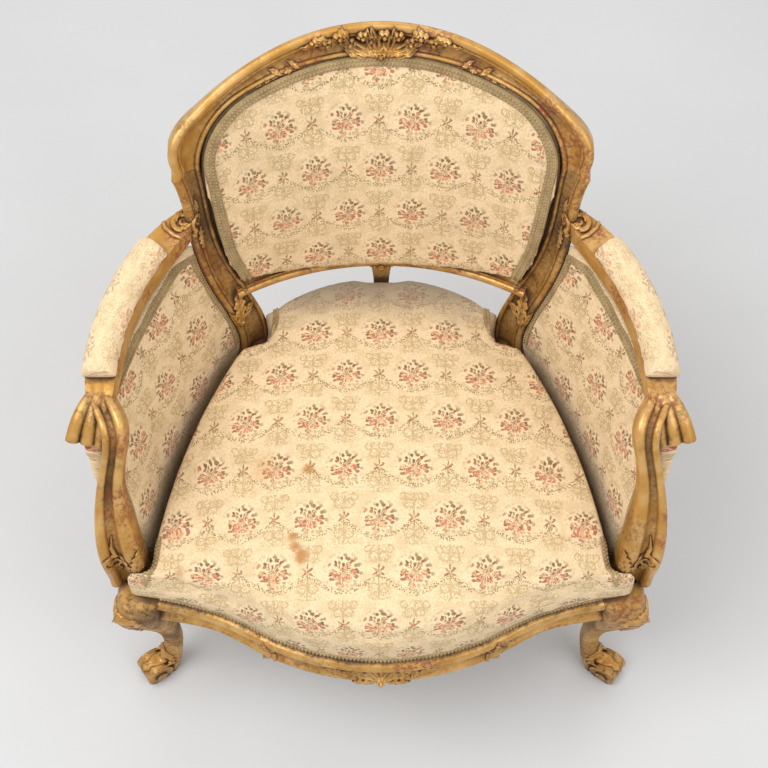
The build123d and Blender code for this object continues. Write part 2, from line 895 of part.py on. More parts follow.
def back_front(grow):
    # region in front of the crowned pad, lofted round the back's axis
    end_angle = asin(shoulder_half / back_radius)
    near = back_radius / 2
    edge = back_radius - back_pad_edge - grow
    low = lower_rail_rise
    top = opening_rise
    sections = []
    for step in range(-4, 5):
        share = step / 4
        fade = 1 - back_fade * share * share
        angle = end_angle * share
        foot = (edge - back_roll * fade, low)
        middle = (edge - back_crown * fade, (low + top) / 2)
        face = face_of([
            ((near, low), None, foot),
            (foot, middle, (edge, top)),
            ((edge, top), None, (near, top)),
            ((near, top), None, (near, low)),
        ])
        outward = (sin(angle), cos(angle), 0)
        sections.append(Plane((0, -back_radius, 0), x_dir=outward, z_dir=(cos(angle), -sin(angle), 0)) * face)
    return loft(sections)


def back_pad(grow):
    block = opening_prism(fit_clearance) & back_shell(-2 * back_crown, back_layer)
    return block - back_front(grow)


def back_straps():
    straps = []
    for step in (-1, 0, 1):
        centre = (opening_rise + lower_rail_rise) / 2
        straps.append(Pos(step * back_web_pitch, 0, centre) * Box(web_width, 2 * back_radius, 2 * crest_rise))
    upright = Compound(straps)
    level = Compound([
        Pos(0, 0, (opening_rise + lower_rail_rise) / 2 + step * back_web_pitch)
        * Box(2 * shoulder_half, 2 * back_radius, web_width) for step in (-1, 0, 1)
    ])
    first = back_layer + hessian_thickness
    prism = opening_prism(fit_clearance, first)
    near = (prism & back_shell(first, first + web_thickness)) & upright
    far = (prism & back_shell(first + web_thickness, first + 2 * web_thickness)) & level
    return Compound(near.solids() + far.solids())


# Arm pads: turned about the arm's own centre and tilted with the arm


def arm_tilt(shape):
    chord = arm_point(1) - arm_point(0)
    across = Vector(0, 0, 1).cross(plan(chord.X, chord.Y)).normalized()
    slope = atan2(-chord.Z, plan(chord.X, chord.Y).length) * 180 / pi
    return shape.rotate(Axis(tuple((arm_point(0) + arm_point(1)) * 0.5), tuple(across)), slope)


def pad_form(grow):
    base = (arm_point(0).Z + arm_point(1).Z) / 2 + arm_rail_height / 2 + arm_top_rise + pad_lift
    half = pad_width / 2 + grow
    top = base + pad_height + grow
    shoulder = base + pad_height / 2
    full = half * pad_round
    edges = [
        Line((arm_radius - half, base), (arm_radius + half, base)),
        ThreePointArc((arm_radius + half, base), (arm_radius + full, shoulder), (arm_radius, top)),
        ThreePointArc((arm_radius, top), (arm_radius - full, shoulder), (arm_radius - half, base)),
    ]
    more = grow / arm_radius
    span = arm_first - arm_last
    start = arm_last + span * (1 - pad_end) - more
    pad_angle = span * (pad_end - pad_start) + 2 * more
    turned = revolve(Plane.XZ * make_face(edges), Axis.Z, pad_angle * 180 / pi)
    return arm_tilt(Pos(*arm_centre) * Rot(0, 0, start * 180 / pi) * turned)


def largest(shape):
    return shape.solids().sort_by(SortBy.VOLUME)[-1]


pieces = {}


def keep(name, shape):
    pieces[name] = shape


def keep_pair(name, right_shape):
    keep(name + "_right", right_shape)
    keep(name + "_left", left_of(right_shape))


front_leg = front_leg_blank()
rear_leg = rear_leg_blank()
front_body, front_tenons, front_mortises = seat_rail(front_rail_edges(), rail_section())
side_body, side_tenons, side_mortises = seat_rail(side_rail_edges(), rail_section())
rear_body, rear_tenons, rear_mortises = seat_rail(rear_rail_edges(), plain_section())

front_rail = front_body - front_leg - left_of(front_leg) - front_apron_arches()
side_rail = side_body - front_leg - rear_leg - front_rail
rear_rail = rear_body - rear_leg - left_of(rear_leg) - side_rail - left_of(side_rail)
block = largest(corner_block() - front_leg - front_rail - side_rail)
front_rail += front_tenons
side_rail += side_tenons
rear_rail += rear_tenons
front_leg = front_leg - front_mortises - side_mortises
rear_leg = rear_leg - side_mortises - rear_mortises

lower_rail = largest(lower_rail_blank() - rear_leg - left_of(rear_leg))
lower_rail += [lower_rail_tenon(0), left_of(lower_rail_tenon(0))]
strut, strut_foot = strut_parts()
strut = strut - lower_rail + strut_tenon_at(strut_foot, 0)
rear_rail -= strut_tenon_at(strut_foot, 2 * tenon_clearance)

arm = largest(arm_blank() - rear_leg)
post = largest(post_blank() - arm)
dowel_hole = dowel_radius + dowel_clearance
hole_length = dowel_length + 2 * dowel_clearance
crest_hole = crest_dowel(dowel_hole, hole_length)
arm -= arm_dowel(dowel_hole, hole_length)
rear_leg = rear_leg - arm_dowel(dowel_hole, hole_length) - crest_hole
rear_leg -= lower_rail_tenon(2 * tenon_clearance)
crest = lean(crest_rail()) - crest_hole - left_of(crest_hole)
dowels = [crest_dowel(dowel_radius, dowel_length), arm_dowel(dowel_radius, dowel_length)]

keep_pair("front_leg", front_leg)
keep_pair("rear_leg", rear_leg)
keep("front_seat_rail", front_rail)
keep_pair("side_seat_rail", side_rail)
keep("rear_seat_rail", rear_rail)
keep("corner_blocks", Compound([block, left_of(block)]))
keep("crest_rail", crest)
keep("lower_back_rail", lower_rail)
keep("back_strut", strut)
keep_pair("arm", arm)
keep_pair("arm_post", post)
keep("frame_dowels", Compound(dowels + [left_of(dowel) for dowel in dowels]))

window = wing_window(wing_room)
outside = wing_thickness
braid_face = -cover_thickness - gimp_thickness
side_stuffing = wing_band(0, outside, wing_crown, 0) & window
side_cover = wing_band(-cover_thickness, 0, wing_crown, wing_crown) & window
outer_side = wing_band(outside, outside + cover_thickness, 0, 0) & window
side_braid = wing_band(braid_face, -cover_thickness, wing_crown, wing_crown) & window
side_braid -= wing_window(wing_room + gimp_width)
keep_pair("side_stuffing", largest(side_stuffing - post - arm))
keep_pair("side_cover", largest(side_cover - post - arm))
keep_pair("outer_side_cover", largest(outer_side - post - arm))
seat_whole = seat_form(0)
keep_pair("side_gimp", largest(side_braid - post - arm - seat_whole))

seat_inner = seat_form(-cover_thickness)
hessian = Pos(0, 0, rail_top) * extrude(seat_outline(-hessian_inset), hessian_thickness)
keep("seat_stuffing", seat_inner - hessian)
keep("spring_hessian", hessian)
keep("seat_cover", seat_whole - seat_inner)
keep("seat_gimp", seat_braid())
keep("seat_webbing", seat_straps())

back_stuffing = back_pad(0)
back_dressed = back_pad(cover_thickness)
keep("back_stuffing", lean(back_stuffing))
keep("back_cover", lean(back_dressed - back_stuffing))
opening = opening_prism(fit_clearance)
border = opening - opening_prism(fit_clearance + gimp_width)
braid_layer = back_front(cover_thickness) - back_front(cover_thickness + gimp_thickness)
keep("back_gimp", lean(border & braid_layer))
hessian_field = opening_prism(fit_clearance, back_layer)
keep("back_hessian", lean(hessian_field & back_shell(back_layer, back_layer + hessian_thickness)))
keep("back_webbing", lean(back_straps()))
outer_back = frame_depth - cover_thickness - gimp_thickness
outer_face = outer_back + cover_thickness
rear_opening = opening_prism(fit_clearance, outer_back)
rear_border = rear_opening - opening_prism(fit_clearance + gimp_width, outer_back)
keep("outer_back_cover", lean(rear_opening & back_shell(outer_back, outer_face)))
keep("outer_back_gimp", lean(rear_border & back_shell(outer_face, frame_depth)))

pad_stuffing = pad_form(-cover_thickness)
keep_pair("arm_pad_stuffing", pad_stuffing)
keep_pair("arm_pad_cover", pad_form(0) - pad_stuffing)

# the origin is the middle of the chair's footprint, on the floor
whole = Compound([solid for shape in pieces.values() for solid in shape.solids()]).bounding_box()
to_origin = Pos(0, -(whole.min.Y + whole.max.Y) / 2, 0)
os.makedirs("parts", exist_ok=True)
for name, shape in pieces.items():
    export_step(to_origin * shape, f"parts/{name}.step")
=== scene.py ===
from math import asin, atan2, cos, pi, radians, sin, sqrt

import bmesh
import bpy
import numpy as np
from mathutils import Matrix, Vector
from mathutils.bvhtree import BVHTree


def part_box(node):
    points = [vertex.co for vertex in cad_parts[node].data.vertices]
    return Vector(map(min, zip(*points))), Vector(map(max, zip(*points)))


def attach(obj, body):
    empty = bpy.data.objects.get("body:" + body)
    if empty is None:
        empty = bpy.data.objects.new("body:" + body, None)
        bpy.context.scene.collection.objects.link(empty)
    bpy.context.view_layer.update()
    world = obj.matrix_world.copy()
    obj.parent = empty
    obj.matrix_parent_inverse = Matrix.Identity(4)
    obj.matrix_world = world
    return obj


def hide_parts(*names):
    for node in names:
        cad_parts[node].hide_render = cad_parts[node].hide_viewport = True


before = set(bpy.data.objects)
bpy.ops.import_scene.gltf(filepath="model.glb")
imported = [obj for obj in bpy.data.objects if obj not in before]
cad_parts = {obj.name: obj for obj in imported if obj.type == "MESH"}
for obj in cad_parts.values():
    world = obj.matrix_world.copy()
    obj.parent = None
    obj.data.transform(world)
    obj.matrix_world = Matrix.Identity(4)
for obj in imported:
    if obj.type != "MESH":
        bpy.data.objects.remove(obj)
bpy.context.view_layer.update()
scene = bpy.context.scene
scene.view_settings.view_transform = "Standard"
print("frame loaded:", len(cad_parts), "nodes")

mm = 0.001
frontReach = 369.0  # drawing: seat middle to the front rail's face
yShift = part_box("front_seat_rail")[0].y + frontReach * mm  # drawing to frame
worldUp = Vector((0.0, 0.0, 1.0))

backForm = {"lean": radians(16.0), "radius": 365.0, "footY": 186.0, "footZ": 440.0}
backUp = Vector((0.0, sin(backForm["lean"]), cos(backForm["lean"])))


def spot(x, y, z):
    return Vector((x * mm, y * mm + yShift, z * mm))


def backArc(arc, level, depth=0.0):
    # place on the leaning, bent back: distance round it, level, depth counted backwards
    radius, tilt = backForm["radius"], backForm["lean"]
    angle = arc / radius
    y = (radius + depth) * cos(angle) - radius
    return spot((radius + depth) * sin(angle),
                backForm["footY"] + y * cos(tilt) + level * sin(tilt),
                backForm["footZ"] - y * sin(tilt) + level * cos(tilt))


def backSpot(x, level, depth=0.0):
    return backArc(backForm["radius"] * asin(x / backForm["radius"]), level, depth)


def backPlace(p):
    radius, tilt = backForm["radius"], backForm["lean"]
    x, y, z = p.x / mm, (p.y - yShift) / mm - backForm["footY"], p.z / mm - backForm["footZ"]
    away = y * cos(tilt) - z * sin(tilt) + radius
    return radius * atan2(x, away), y * sin(tilt) + z * cos(tilt), sqrt(x * x + away * away) - radius


def backFacing(x):
    # direction that the back's front faces at this place
    angle = asin(x / backForm["radius"])
    tilt = backForm["lean"]
    return Vector((-sin(angle), -cos(angle) * cos(tilt), cos(angle) * sin(tilt))).normalized()


# shader helpers


def newGroup(name, inputs, outputs):
    tree = bpy.data.node_groups.new(name, "ShaderNodeTree")
    for label, kind, value in inputs:
        socket = tree.interface.new_socket(label, in_out="INPUT", socket_type=kind)
        if value is not None:
            socket.default_value = value
    for label, kind in outputs:
        tree.interface.new_socket(label, in_out="OUTPUT", socket_type=kind)
    return tree, tree.nodes.new("NodeGroupInput"), tree.nodes.new("NodeGroupOutput")


def plug(tree, socket, value):
    if value is None:
        return
    if isinstance(value, bpy.types.NodeSocket):
        tree.links.new(value, socket)
    else:
        socket.default_value = value


def calc(tree, operation, a, b=None, c=None):
    node = tree.nodes.new("ShaderNodeMath")
    node.operation = operation
    for socket, value in zip(node.inputs, (a, b, c)):
        plug(tree, socket, value)
    return node.outputs[0]


def times(tree, value, *others):
    for other in others:
        value = calc(tree, "MULTIPLY", value, other)
    return value


def ramp(tree, value, low, high, toLow=0.0, toHigh=1.0):
    # smooth step from one level to another, where low may be above high
    node = tree.nodes.new("ShaderNodeMapRange")
    node.interpolation_type = "SMOOTHSTEP"
    for socket, given in zip(node.inputs, (value, low, high, toLow, toHigh)):
        plug(tree, socket, given)
    return node.outputs[0]


def tint(tree, share, a, b):
    node = tree.nodes.new("ShaderNodeMix")
    node.data_type = "RGBA"
    plug(tree, node.inputs[0], share)
    plug(tree, node.inputs[6], a)
    plug(tree, node.inputs[7], b)
    return node.outputs[2]


def noise(tree, vector, scale, detail=3.0, rough=0.55):
    node = tree.nodes.new("ShaderNodeTexNoise")
    plug(tree, node.inputs["Vector"], vector)
    node.inputs["Scale"].default_value = scale
    node.inputs["Detail"].default_value = detail
    node.inputs["Roughness"].default_value = rough
    return node.outputs[0]


def cells(tree, vector, scale):
    # little patches: distance from each one's middle, and two random numbers
    node = tree.nodes.new("ShaderNodeTexVoronoi")
    node.voronoi_dimensions = "2D"
    node.inputs["Scale"].default_value = scale
    plug(tree, node.inputs["Vector"], vector)
    parts = tree.nodes.new("ShaderNodeSeparateXYZ")
    tree.links.new(node.outputs["Color"], parts.inputs[0])
    return node.outputs["Distance"], parts.outputs[0], parts.outputs[1]


def apart(tree, vector):
    node = tree.nodes.new("ShaderNodeSeparateXYZ")
    tree.links.new(vector, node.inputs[0])
    return node.outputs[0], node.outputs[1], node.outputs[2]


def together(tree, x, y):
    node = tree.nodes.new("ShaderNodeCombineXYZ")
    plug(tree, node.inputs[0], x)
    plug(tree, node.inputs[1], y)
    return node.outputs[0]


def lengthOf(tree, x, y):
    return calc(tree, "SQRT", calc(tree, "MULTIPLY_ADD", x, x, times(tree, y, y)))


def vectorMath(tree, operation, *values):
    node = tree.nodes.new("ShaderNodeVectorMath")
    node.operation = operation
    for socket, value in zip(node.inputs, values):
        plug(tree, socket, value)
    return node


def occlusion(tree, distance, inside=False):
    node = tree.nodes.new("ShaderNodeAmbientOcclusion")
    node.samples = 6
    node.inside = inside
    node.inputs["Distance"].default_value = distance
    return node.outputs["AO"]


def rgb(r, g, b):
    return (r, g, b, 1.0)


def newMaterial(name):
    material = bpy.data.materials.new(name)
    material.use_nodes = True
    tree = material.node_tree
    return material, tree, tree.nodes["Principled BSDF"]


def objectSpace(tree):
    return tree.nodes.new("ShaderNodeTexCoord").outputs["Object"]


def uvSpace(tree):
    node = tree.nodes.new("ShaderNodeUVMap")
    node.uv_map = "clothUv"
    return node.outputs[0]


def useGroup(tree, group, **values):
    node = tree.nodes.new("ShaderNodeGroup")
    node.node_tree = group
    for label, value in values.items():
        plug(tree, node.inputs[label], value)
    return node


def addBump(tree, shader, height, distance, strength=1.0):
    node = tree.nodes.new("ShaderNodeBump")
    node.inputs["Distance"].default_value = distance
    node.inputs["Strength"].default_value = strength
    tree.links.new(height, node.inputs["Height"])
    tree.links.new(node.outputs[0], shader.inputs["Normal"])


# worn gilding over red bole, brown in the hollows

giltLook = {
    "gold": rgb(0.50, 0.255, 0.050), "paleGold": rgb(0.66, 0.395, 0.135), "patina": rgb(0.085, 0.036, 0.010),
    "bole": rgb(0.25, 0.062, 0.026), "crevice": 0.011, "edge": 0.004, "metal": 0.45,
    "rubs": 9.0, "clouds": 13.0, "patches": 30.0, "specks": 170.0, "brush": 520.0,  # scales of the mottling
    "bump": 0.0006,
}


def makeGiltGroup():
    tree, given, made = newGroup(
        "wornGilding",
        [("Vector", "NodeSocketVector", None), ("Wear", "NodeSocketFloat", 0.5),
         ("Age", "NodeSocketFloat", 0.5)],
        [("Color", "NodeSocketColor"), ("Roughness", "NodeSocketFloat"), ("Metal", "NodeSocketFloat"),
         ("Height", "NodeSocketFloat")])
    place = given.outputs["Vector"]
    patches = noise(tree, place, giltLook["patches"], 5.0)
    specks = noise(tree, place, giltLook["specks"], 4.0, 0.65)
    brush = noise(tree, place, giltLook["brush"], 2.0)
    clouds = noise(tree, place, giltLook["clouds"], 4.0)
    gold = tint(tree, ramp(tree, patches, 0.36, 0.68), giltLook["gold"], giltLook["paleGold"])
    dirt = times(tree, calc(tree, "SUBTRACT", 1.0, occlusion(tree, giltLook["crevice"])), 1.35)
    dirt = calc(tree, "ADD", dirt, times(tree, ramp(tree, specks, 0.42, 0.75), 0.34))
    dirt = calc(tree, "ADD", dirt, ramp(tree, clouds, 0.44, 0.72, 0.0, 0.40))
    dirt = ramp(tree, calc(tree, "MULTIPLY_ADD", given.outputs["Age"], 0.45, dirt), 0.20, 0.95)
    color = tint(tree, dirt, gold, giltLook["patina"])
    worn = times(tree, ramp(tree, occlusion(tree, giltLook["edge"], True), 0.80, 0.45),
                 ramp(tree, specks, 0.42, 0.62))
    rubbed = ramp(tree, noise(tree, place, giltLook["rubs"], 3.0), 0.54, 0.63)
    worn = calc(tree, "MAXIMUM", worn, times(tree, rubbed, ramp(tree, specks, 0.43, 0.57)))
    worn = times(tree, worn, given.outputs["Wear"])
    color = tint(tree, worn, color, giltLook["bole"])
    rough = ramp(tree, calc(tree, "ADD", specks, dirt), 0.3, 1.4, 0.34, 0.64)
    bright = calc(tree, "SUBTRACT", 1.0, calc(tree, "MAXIMUM", dirt, worn))
    tree.links.new(color, made.inputs["Color"])
    tree.links.new(rough, made.inputs["Roughness"])
    tree.links.new(times(tree, bright, giltLook["metal"]), made.inputs["Metal"])
    tree.links.new(calc(tree, "MULTIPLY_ADD", brush, 0.35, specks), made.inputs["Height"])
    return tree


giltGroup = makeGiltGroup()


def makeGilt(name, wear, age):
    material, tree, shader = newMaterial(name)
    look = useGroup(tree, giltGroup, Vector=objectSpace(tree), Wear=wear, Age=age)
    tree.links.new(look.outputs["Color"], shader.inputs["Base Color"])
    tree.links.new(look.outputs["Roughness"], shader.inputs["Roughness"])
    tree.links.new(look.outputs["Metal"], shader.inputs["Metallic"])
    addBump(tree, shader, look.outputs["Height"], giltLook["bump"], 0.55)
    return material


frameGilt = makeGilt("frameGilding", wear=0.80, age=0.12)
carvingGilt = makeGilt("carvingGilding", wear=0.30, age=-0.10)
legGilt = makeGilt("legGilding", wear=0.50, age=0.80)

beechLook = {"dark": rgb(0.20, 0.115, 0.055), "light": rgb(0.37, 0.235, 0.125), "stretch": (9.0, 60.0, 60.0),
             "bump": 0.0006}


def makePlainWood():
    material, tree, shader = newMaterial("plainBeech")
    place = objectSpace(tree)
    stretch = tree.nodes.new("ShaderNodeMapping")
    stretch.inputs["Scale"].default_value = beechLook["stretch"]
    tree.links.new(place, stretch.inputs[0])
    grain = noise(tree, stretch.outputs[0], 3.0, 5.0)
    color = tint(tree, ramp(tree, grain, 0.3, 0.7), beechLook["dark"], beechLook["light"])
    tree.links.new(color, shader.inputs["Base Color"])
    tree.links.new(ramp(tree, grain, 0.2, 0.8, 0.55, 0.75), shader.inputs["Roughness"])
    addBump(tree, shader, grain, beechLook["bump"], 0.5)
    return material


plainWood = makePlainWood()


# floral cloth: bouquets in half-drop rows, festoons under them, sprigs and scrolls between

clothLook = {
    "pitch": 92.0, "row": 72.0, "bouquet": 1.24,  # bouquets, in millimetres, and their scale
    "ground": rgb(0.90, 0.69, 0.435), "shade": rgb(0.70, 0.515, 0.280), "scroll": rgb(0.50, 0.355, 0.165),
    "leaf": rgb(0.195, 0.130, 0.050), "sage": rgb(0.38, 0.270, 0.115),
    "red": rgb(0.40, 0.085, 0.048), "coral": rgb(0.64, 0.225, 0.115), "peach": rgb(0.80, 0.41, 0.20),
    # grime: dirt with painted shade, laid on occluded cloth and along the seat's back edge
    "soil": rgb(0.36, 0.255, 0.145), "grimeAndShade": rgb(0.25, 0.195, 0.135), "rust": rgb(0.47, 0.215, 0.065),
    "thread": rgb(0.10, 0.06, 0.03), "weave": 4.6, "sway": (5.0, 5.0, 0.0), "grimeAndShadeReach": 0.030,
    "festoonRise": 24.0, "festoonLow": -27.0, "bump": 0.0004,
    # scrolls on both sides of a stem: middle and radius
    "scrolls": ((6.5, 20.0, 6.0), (7.0, -21.0, 6.0), (14.0, 30.0, 4.5)),
}

# kind, middle, half sizes (mm) and turn (degrees)
bouquetPieces = [
    ("coral", -6, -5, 5.2, 4.4, 20), ("peach", 4, -7, 5.6, 4.6, -10), ("coral", 0, 2, 3.0, 2.6, 0),
    ("peach", -12, 0, 3.6, 3.0, 40), ("coral", 10, 0, 4.2, 3.4, 10), ("red", 14, -5, 2.6, 2.2, 0),
    ("peach", -2, -14, 3.6, 2.8, 0), ("red", -8, 7, 2.2, 2.0, 0), ("coral", 6, 8, 2.6, 2.4, 0),
    ("red", 11, 12, 1.7, 1.6, 0), ("coral", -14, 9, 1.9, 1.7, 0), ("red", -13, -8, 2.0, 1.8, 0),
]
sprigPieces = [
    ("sage", -4, 3, 4.6, 1.4, 140), ("leaf", 4, 3, 4.6, 1.4, 40), ("sage", 0, -6, 5.0, 1.3, 90),
    ("leaf", -5, -3, 3.6, 1.2, 205), ("leaf", 5, -3, 3.6, 1.2, -25), ("leaf", 0, 7, 3.8, 1.1, 90),
    ("coral", 0, 1, 2.8, 2.4, 0), ("red", -3, -1, 1.6, 1.5, 0), ("red", 5, 6, 1.4, 1.3, 0),
]


def cellOf(tree, u, v, slide):
    # place inside one repeat, every second row moved by half a pitch
    rowAt = calc(tree, "DIVIDE", v, clothLook["row"])
    odd = times(tree, calc(tree, "FLOORED_MODULO", calc(tree, "FLOOR", rowAt), 2.0), 0.5)
    across = calc(tree, "ADD", calc(tree, "ADD", calc(tree, "DIVIDE", u, clothLook["pitch"]), odd), slide)
    x = times(tree, calc(tree, "SUBTRACT", calc(tree, "FRACT", across), 0.5), clothLook["pitch"])
    y = times(tree, calc(tree, "SUBTRACT", calc(tree, "FRACT", rowAt), 0.5), clothLook["row"])
    return x, y


def paintBlob(tree, color, cell, piece, strength, mottle):
    kind, x, y, wide, tall, turn = piece
    place = tree.nodes.new("ShaderNodeMapping")
    place.vector_type = "TEXTURE"
    place.inputs["Location"].default_value = (x, y, 0.0)
    place.inputs["Rotation"].default_value = (0.0, 0.0, radians(turn))
    place.inputs["Scale"].default_value = (wide, tall, 1.0)
    tree.links.new(cell, place.inputs[0])
    reach = vectorMath(tree, "LENGTH", place.outputs[0]).outputs["Value"]
    mask = times(tree, ramp(tree, reach, 0.70, 1.10, 0.85, 0.0), strength)
    paint = clothLook[kind]
    if kind in ("coral", "peach"):  # petals broken up by darker and paler stitches
        paint = tint(tree, ramp(tree, mottle, 0.55, 0.75), paint, clothLook["red"])
        paint = tint(tree, ramp(tree, mottle, 0.35, 0.15, 0.0, 0.7), paint, clothLook["ground"])
    return tint(tree, mask, color, paint)


def ring(tree, x, y, middleX, middleY, radius, half):
    away = lengthOf(tree, calc(tree, "SUBTRACT", x, middleX), calc(tree, "SUBTRACT", y, middleY))
    off = calc(tree, "ABSOLUTE", calc(tree, "SUBTRACT", away, radius))
    return ramp(tree, off, half * 0.4, half, 1.0, 0.0)


def patternPlaces(tree, vector):
    # where a point lies: on the cloth in millimetres, about its bouquet and about the sprig between bouquets
    scaled = vectorMath(tree, "SCALE", vector)
    scaled.inputs["Scale"].default_value = 1 / mm
    cloth = scaled.outputs[0]
    wobble = tree.nodes.new("ShaderNodeTexNoise")
    wobble.inputs["Scale"].default_value = 0.22
    wobble.inputs["Detail"].default_value = 3.0
    tree.links.new(cloth, wobble.inputs["Vector"])
    swayed = vectorMath(tree, "MULTIPLY_ADD", wobble.outputs["Color"], clothLook["sway"], cloth)
    u, v, _ = apart(tree, swayed.outputs[0])
    at = {"cloth": cloth, "leafy": noise(tree, cloth, 0.34, 3.0)}
    at["x"], at["y"] = cellOf(tree, u, v, 0.0)
    at["bouquetX"], at["bouquetY"] = (calc(tree, "DIVIDE", at[k], clothLook["bouquet"]) for k in ("x", "y"))
    at["away"] = lengthOf(tree, at["bouquetX"], at["bouquetY"])
    at["sprigX"], at["sprigY"] = cellOf(tree, u, v, 0.5)
    at["besideX"], at["besideY"] = (calc(tree, "ABSOLUTE", at[k]) for k in ("sprigX", "sprigY"))
    return at


def leaflets(tree, vector, scale, size, pick, tone):
    # scattered small leaves, each dark or sage
    away, chance, shade = cells(tree, vector, scale)
    paint = tint(tree, ramp(tree, shade, *tone), clothLook["leaf"], clothLook["sage"])
    return times(tree, ramp(tree, away, *size), ramp(tree, chance, *pick)), paint


def paintDamask(tree, at):
    # tone in tone, thin round the bouquets
    damask = times(tree, ramp(tree, at["leafy"], 0.42, 0.66), ramp(tree, at["away"], 12.0, 30.0, 0.25, 0.75))
    color = tint(tree, damask, clothLook["ground"], clothLook["shade"])
    blotch = ramp(tree, noise(tree, at["cloth"], 0.055, 2.0), 0.50, 0.58, 0.0, 0.45)
    blotch = times(tree, blotch, ramp(tree, at["away"], 14.0, 22.0))
    return tint(tree, blotch, color, clothLook["shade"])


def paintScrolls(tree, color, at, leaflet, flowers):
    # pale scrolls and small leaves on a stem between the bouquets
    scroll = times(tree, ramp(tree, at["besideX"], 0.5, 1.5, 1.0, 0.0), ramp(tree, at["besideY"], 8.0, 12.0))
    for turnX, turnY, size in clothLook["scrolls"]:
        for side in (-1, 1):
            turn = ring(tree, at["sprigX"], at["sprigY"], side * turnX, turnY, size, 1.5)
            scroll = calc(tree, "MAXIMUM", scroll, turn)
    scroll = times(tree, scroll, ramp(tree, at["leafy"], 0.36, 0.52, 0.2, 0.8))
    column = times(tree, ramp(tree, at["besideX"], 10.0, 22.0, 0.75, 0.0),
                   ramp(tree, at["besideY"], 8.0, 14.0))
    scroll = calc(tree, "MAXIMUM", scroll, times(tree, column, leaflet))
    return tint(tree, times(tree, scroll, flowers), color, clothLook["scroll"])


def paintFestoon(tree, color, at, leaflet, leafPaint, flowers):
    # chain of small leaves hung below each bouquet
    spread = calc(tree, "DIVIDE", calc(tree, "ABSOLUTE", at["x"]), clothLook["pitch"] / 2)
    swag = calc(tree, "MULTIPLY_ADD", calc(tree, "POWER", spread, 1.5), clothLook["festoonRise"],
                clothLook["festoonLow"])
    off = calc(tree, "ABSOLUTE", calc(tree, "SUBTRACT", at["y"], swag))
    chain = times(tree, ramp(tree, off, 2.0, 5.5, 0.9, 0.0), leaflet, flowers)
    return tint(tree, chain, color, leafPaint)


def paintNeedles(tree, color, at, flowers):
    # narrow leaves standing out all round the bouquet
    angle = calc(tree, "ARCTAN2", at["bouquetY"], at["bouquetX"])
    polar = together(tree, times(tree, angle, 3.3), calc(tree, "DIVIDE", at["away"], 6.0))
    needle, paint = leaflets(tree, polar, 1.0, (0.46, 0.26), (0.18, 0.26), (0.35, 0.65))
    reach = times(tree, ramp(tree, at["away"], 24.0, 15.0),
                  ramp(tree, at["bouquetY"], -22.0, -2.0, 0.35, 1.0))
    return tint(tree, times(tree, needle, reach, flowers), color, paint)


def paintDirtAndShade(tree, color, at, place, amount):
    # soil in wide patches, a clouded tone, and dirt with painted shade where the cloth meets the frame
    soil = ramp(tree, noise(tree, place, 7.0, 4.0), 0.46, 0.76)
    color = tint(tree, times(tree, soil, amount, 0.30), color, clothLook["soil"])
    cloudy = noise(tree, at["cloth"], 0.035, 3.0)
    color = tint(tree, ramp(tree, cloudy, 0.40, 0.7, 0.0, 0.14), color, clothLook["shade"])
    # painted shade with dirt: darker where the cloth is occluded, beside the frame and in folds
    grimeAndShade = ramp(tree, occlusion(tree, clothLook["grimeAndShadeReach"]), 0.78, 0.30, 0.0, 0.62)
    grimeAndShade = times(tree, grimeAndShade, ramp(tree, at["leafy"], 0.2, 0.6, 0.6, 1.0))
    return tint(tree, grimeAndShade, color, clothLook["grimeAndShade"])


def makeFloralGroup():
    tree, given, made = newGroup(
        "floralCloth",
        [("Vector", "NodeSocketVector", None), ("Place", "NodeSocketVector", None),
         ("Flowers", "NodeSocketFloat", 1.0), ("Soil", "NodeSocketFloat", 0.5)],
        [("Color", "NodeSocketColor"), ("Height", "NodeSocketFloat")])
    flowers = given.outputs["Flowers"]
    at = patternPlaces(tree, given.outputs["Vector"])
    leaflet, leafPaint = leaflets(tree, at["cloth"], 0.40, (0.50, 0.30), (0.22, 0.30), (0.3, 0.7))
    color = paintDamask(tree, at)
    color = paintScrolls(tree, color, at, leaflet, flowers)
    color = paintFestoon(tree, color, at, leaflet, leafPaint, flowers)
    color = paintNeedles(tree, color, at, flowers)
    _, mottle, _ = cells(tree, at["cloth"], 0.62)
    for pieces, kind in ((sprigPieces, "sprig"), (bouquetPieces, "bouquet")):
        cell = together(tree, at[kind + "X"], at[kind + "Y"])
        for piece in pieces:
            color = paintBlob(tree, color, cell, piece, flowers, mottle)
    color = paintDirtAndShade(tree, color, at, given.outputs["Place"], given.outputs["Soil"])
    # plain weave
    runs = apart(tree, at["cloth"])[:2]
    warp, weft = (calc(tree, "SINE", times(tree, run, clothLook["weave"])) for run in runs)
    weave = times(tree, warp, weft)
    color = tint(tree, ramp(tree, weave, -1.0, 1.0, 0.0, 0.07), color, clothLook["thread"])
    tree.links.new(color, made.inputs["Color"])
    tree.links.new(calc(tree, "MULTIPLY_ADD", at["leafy"], 0.8, weave), made.inputs["Height"])
    return tree


floralGroup = makeFloralGroup()


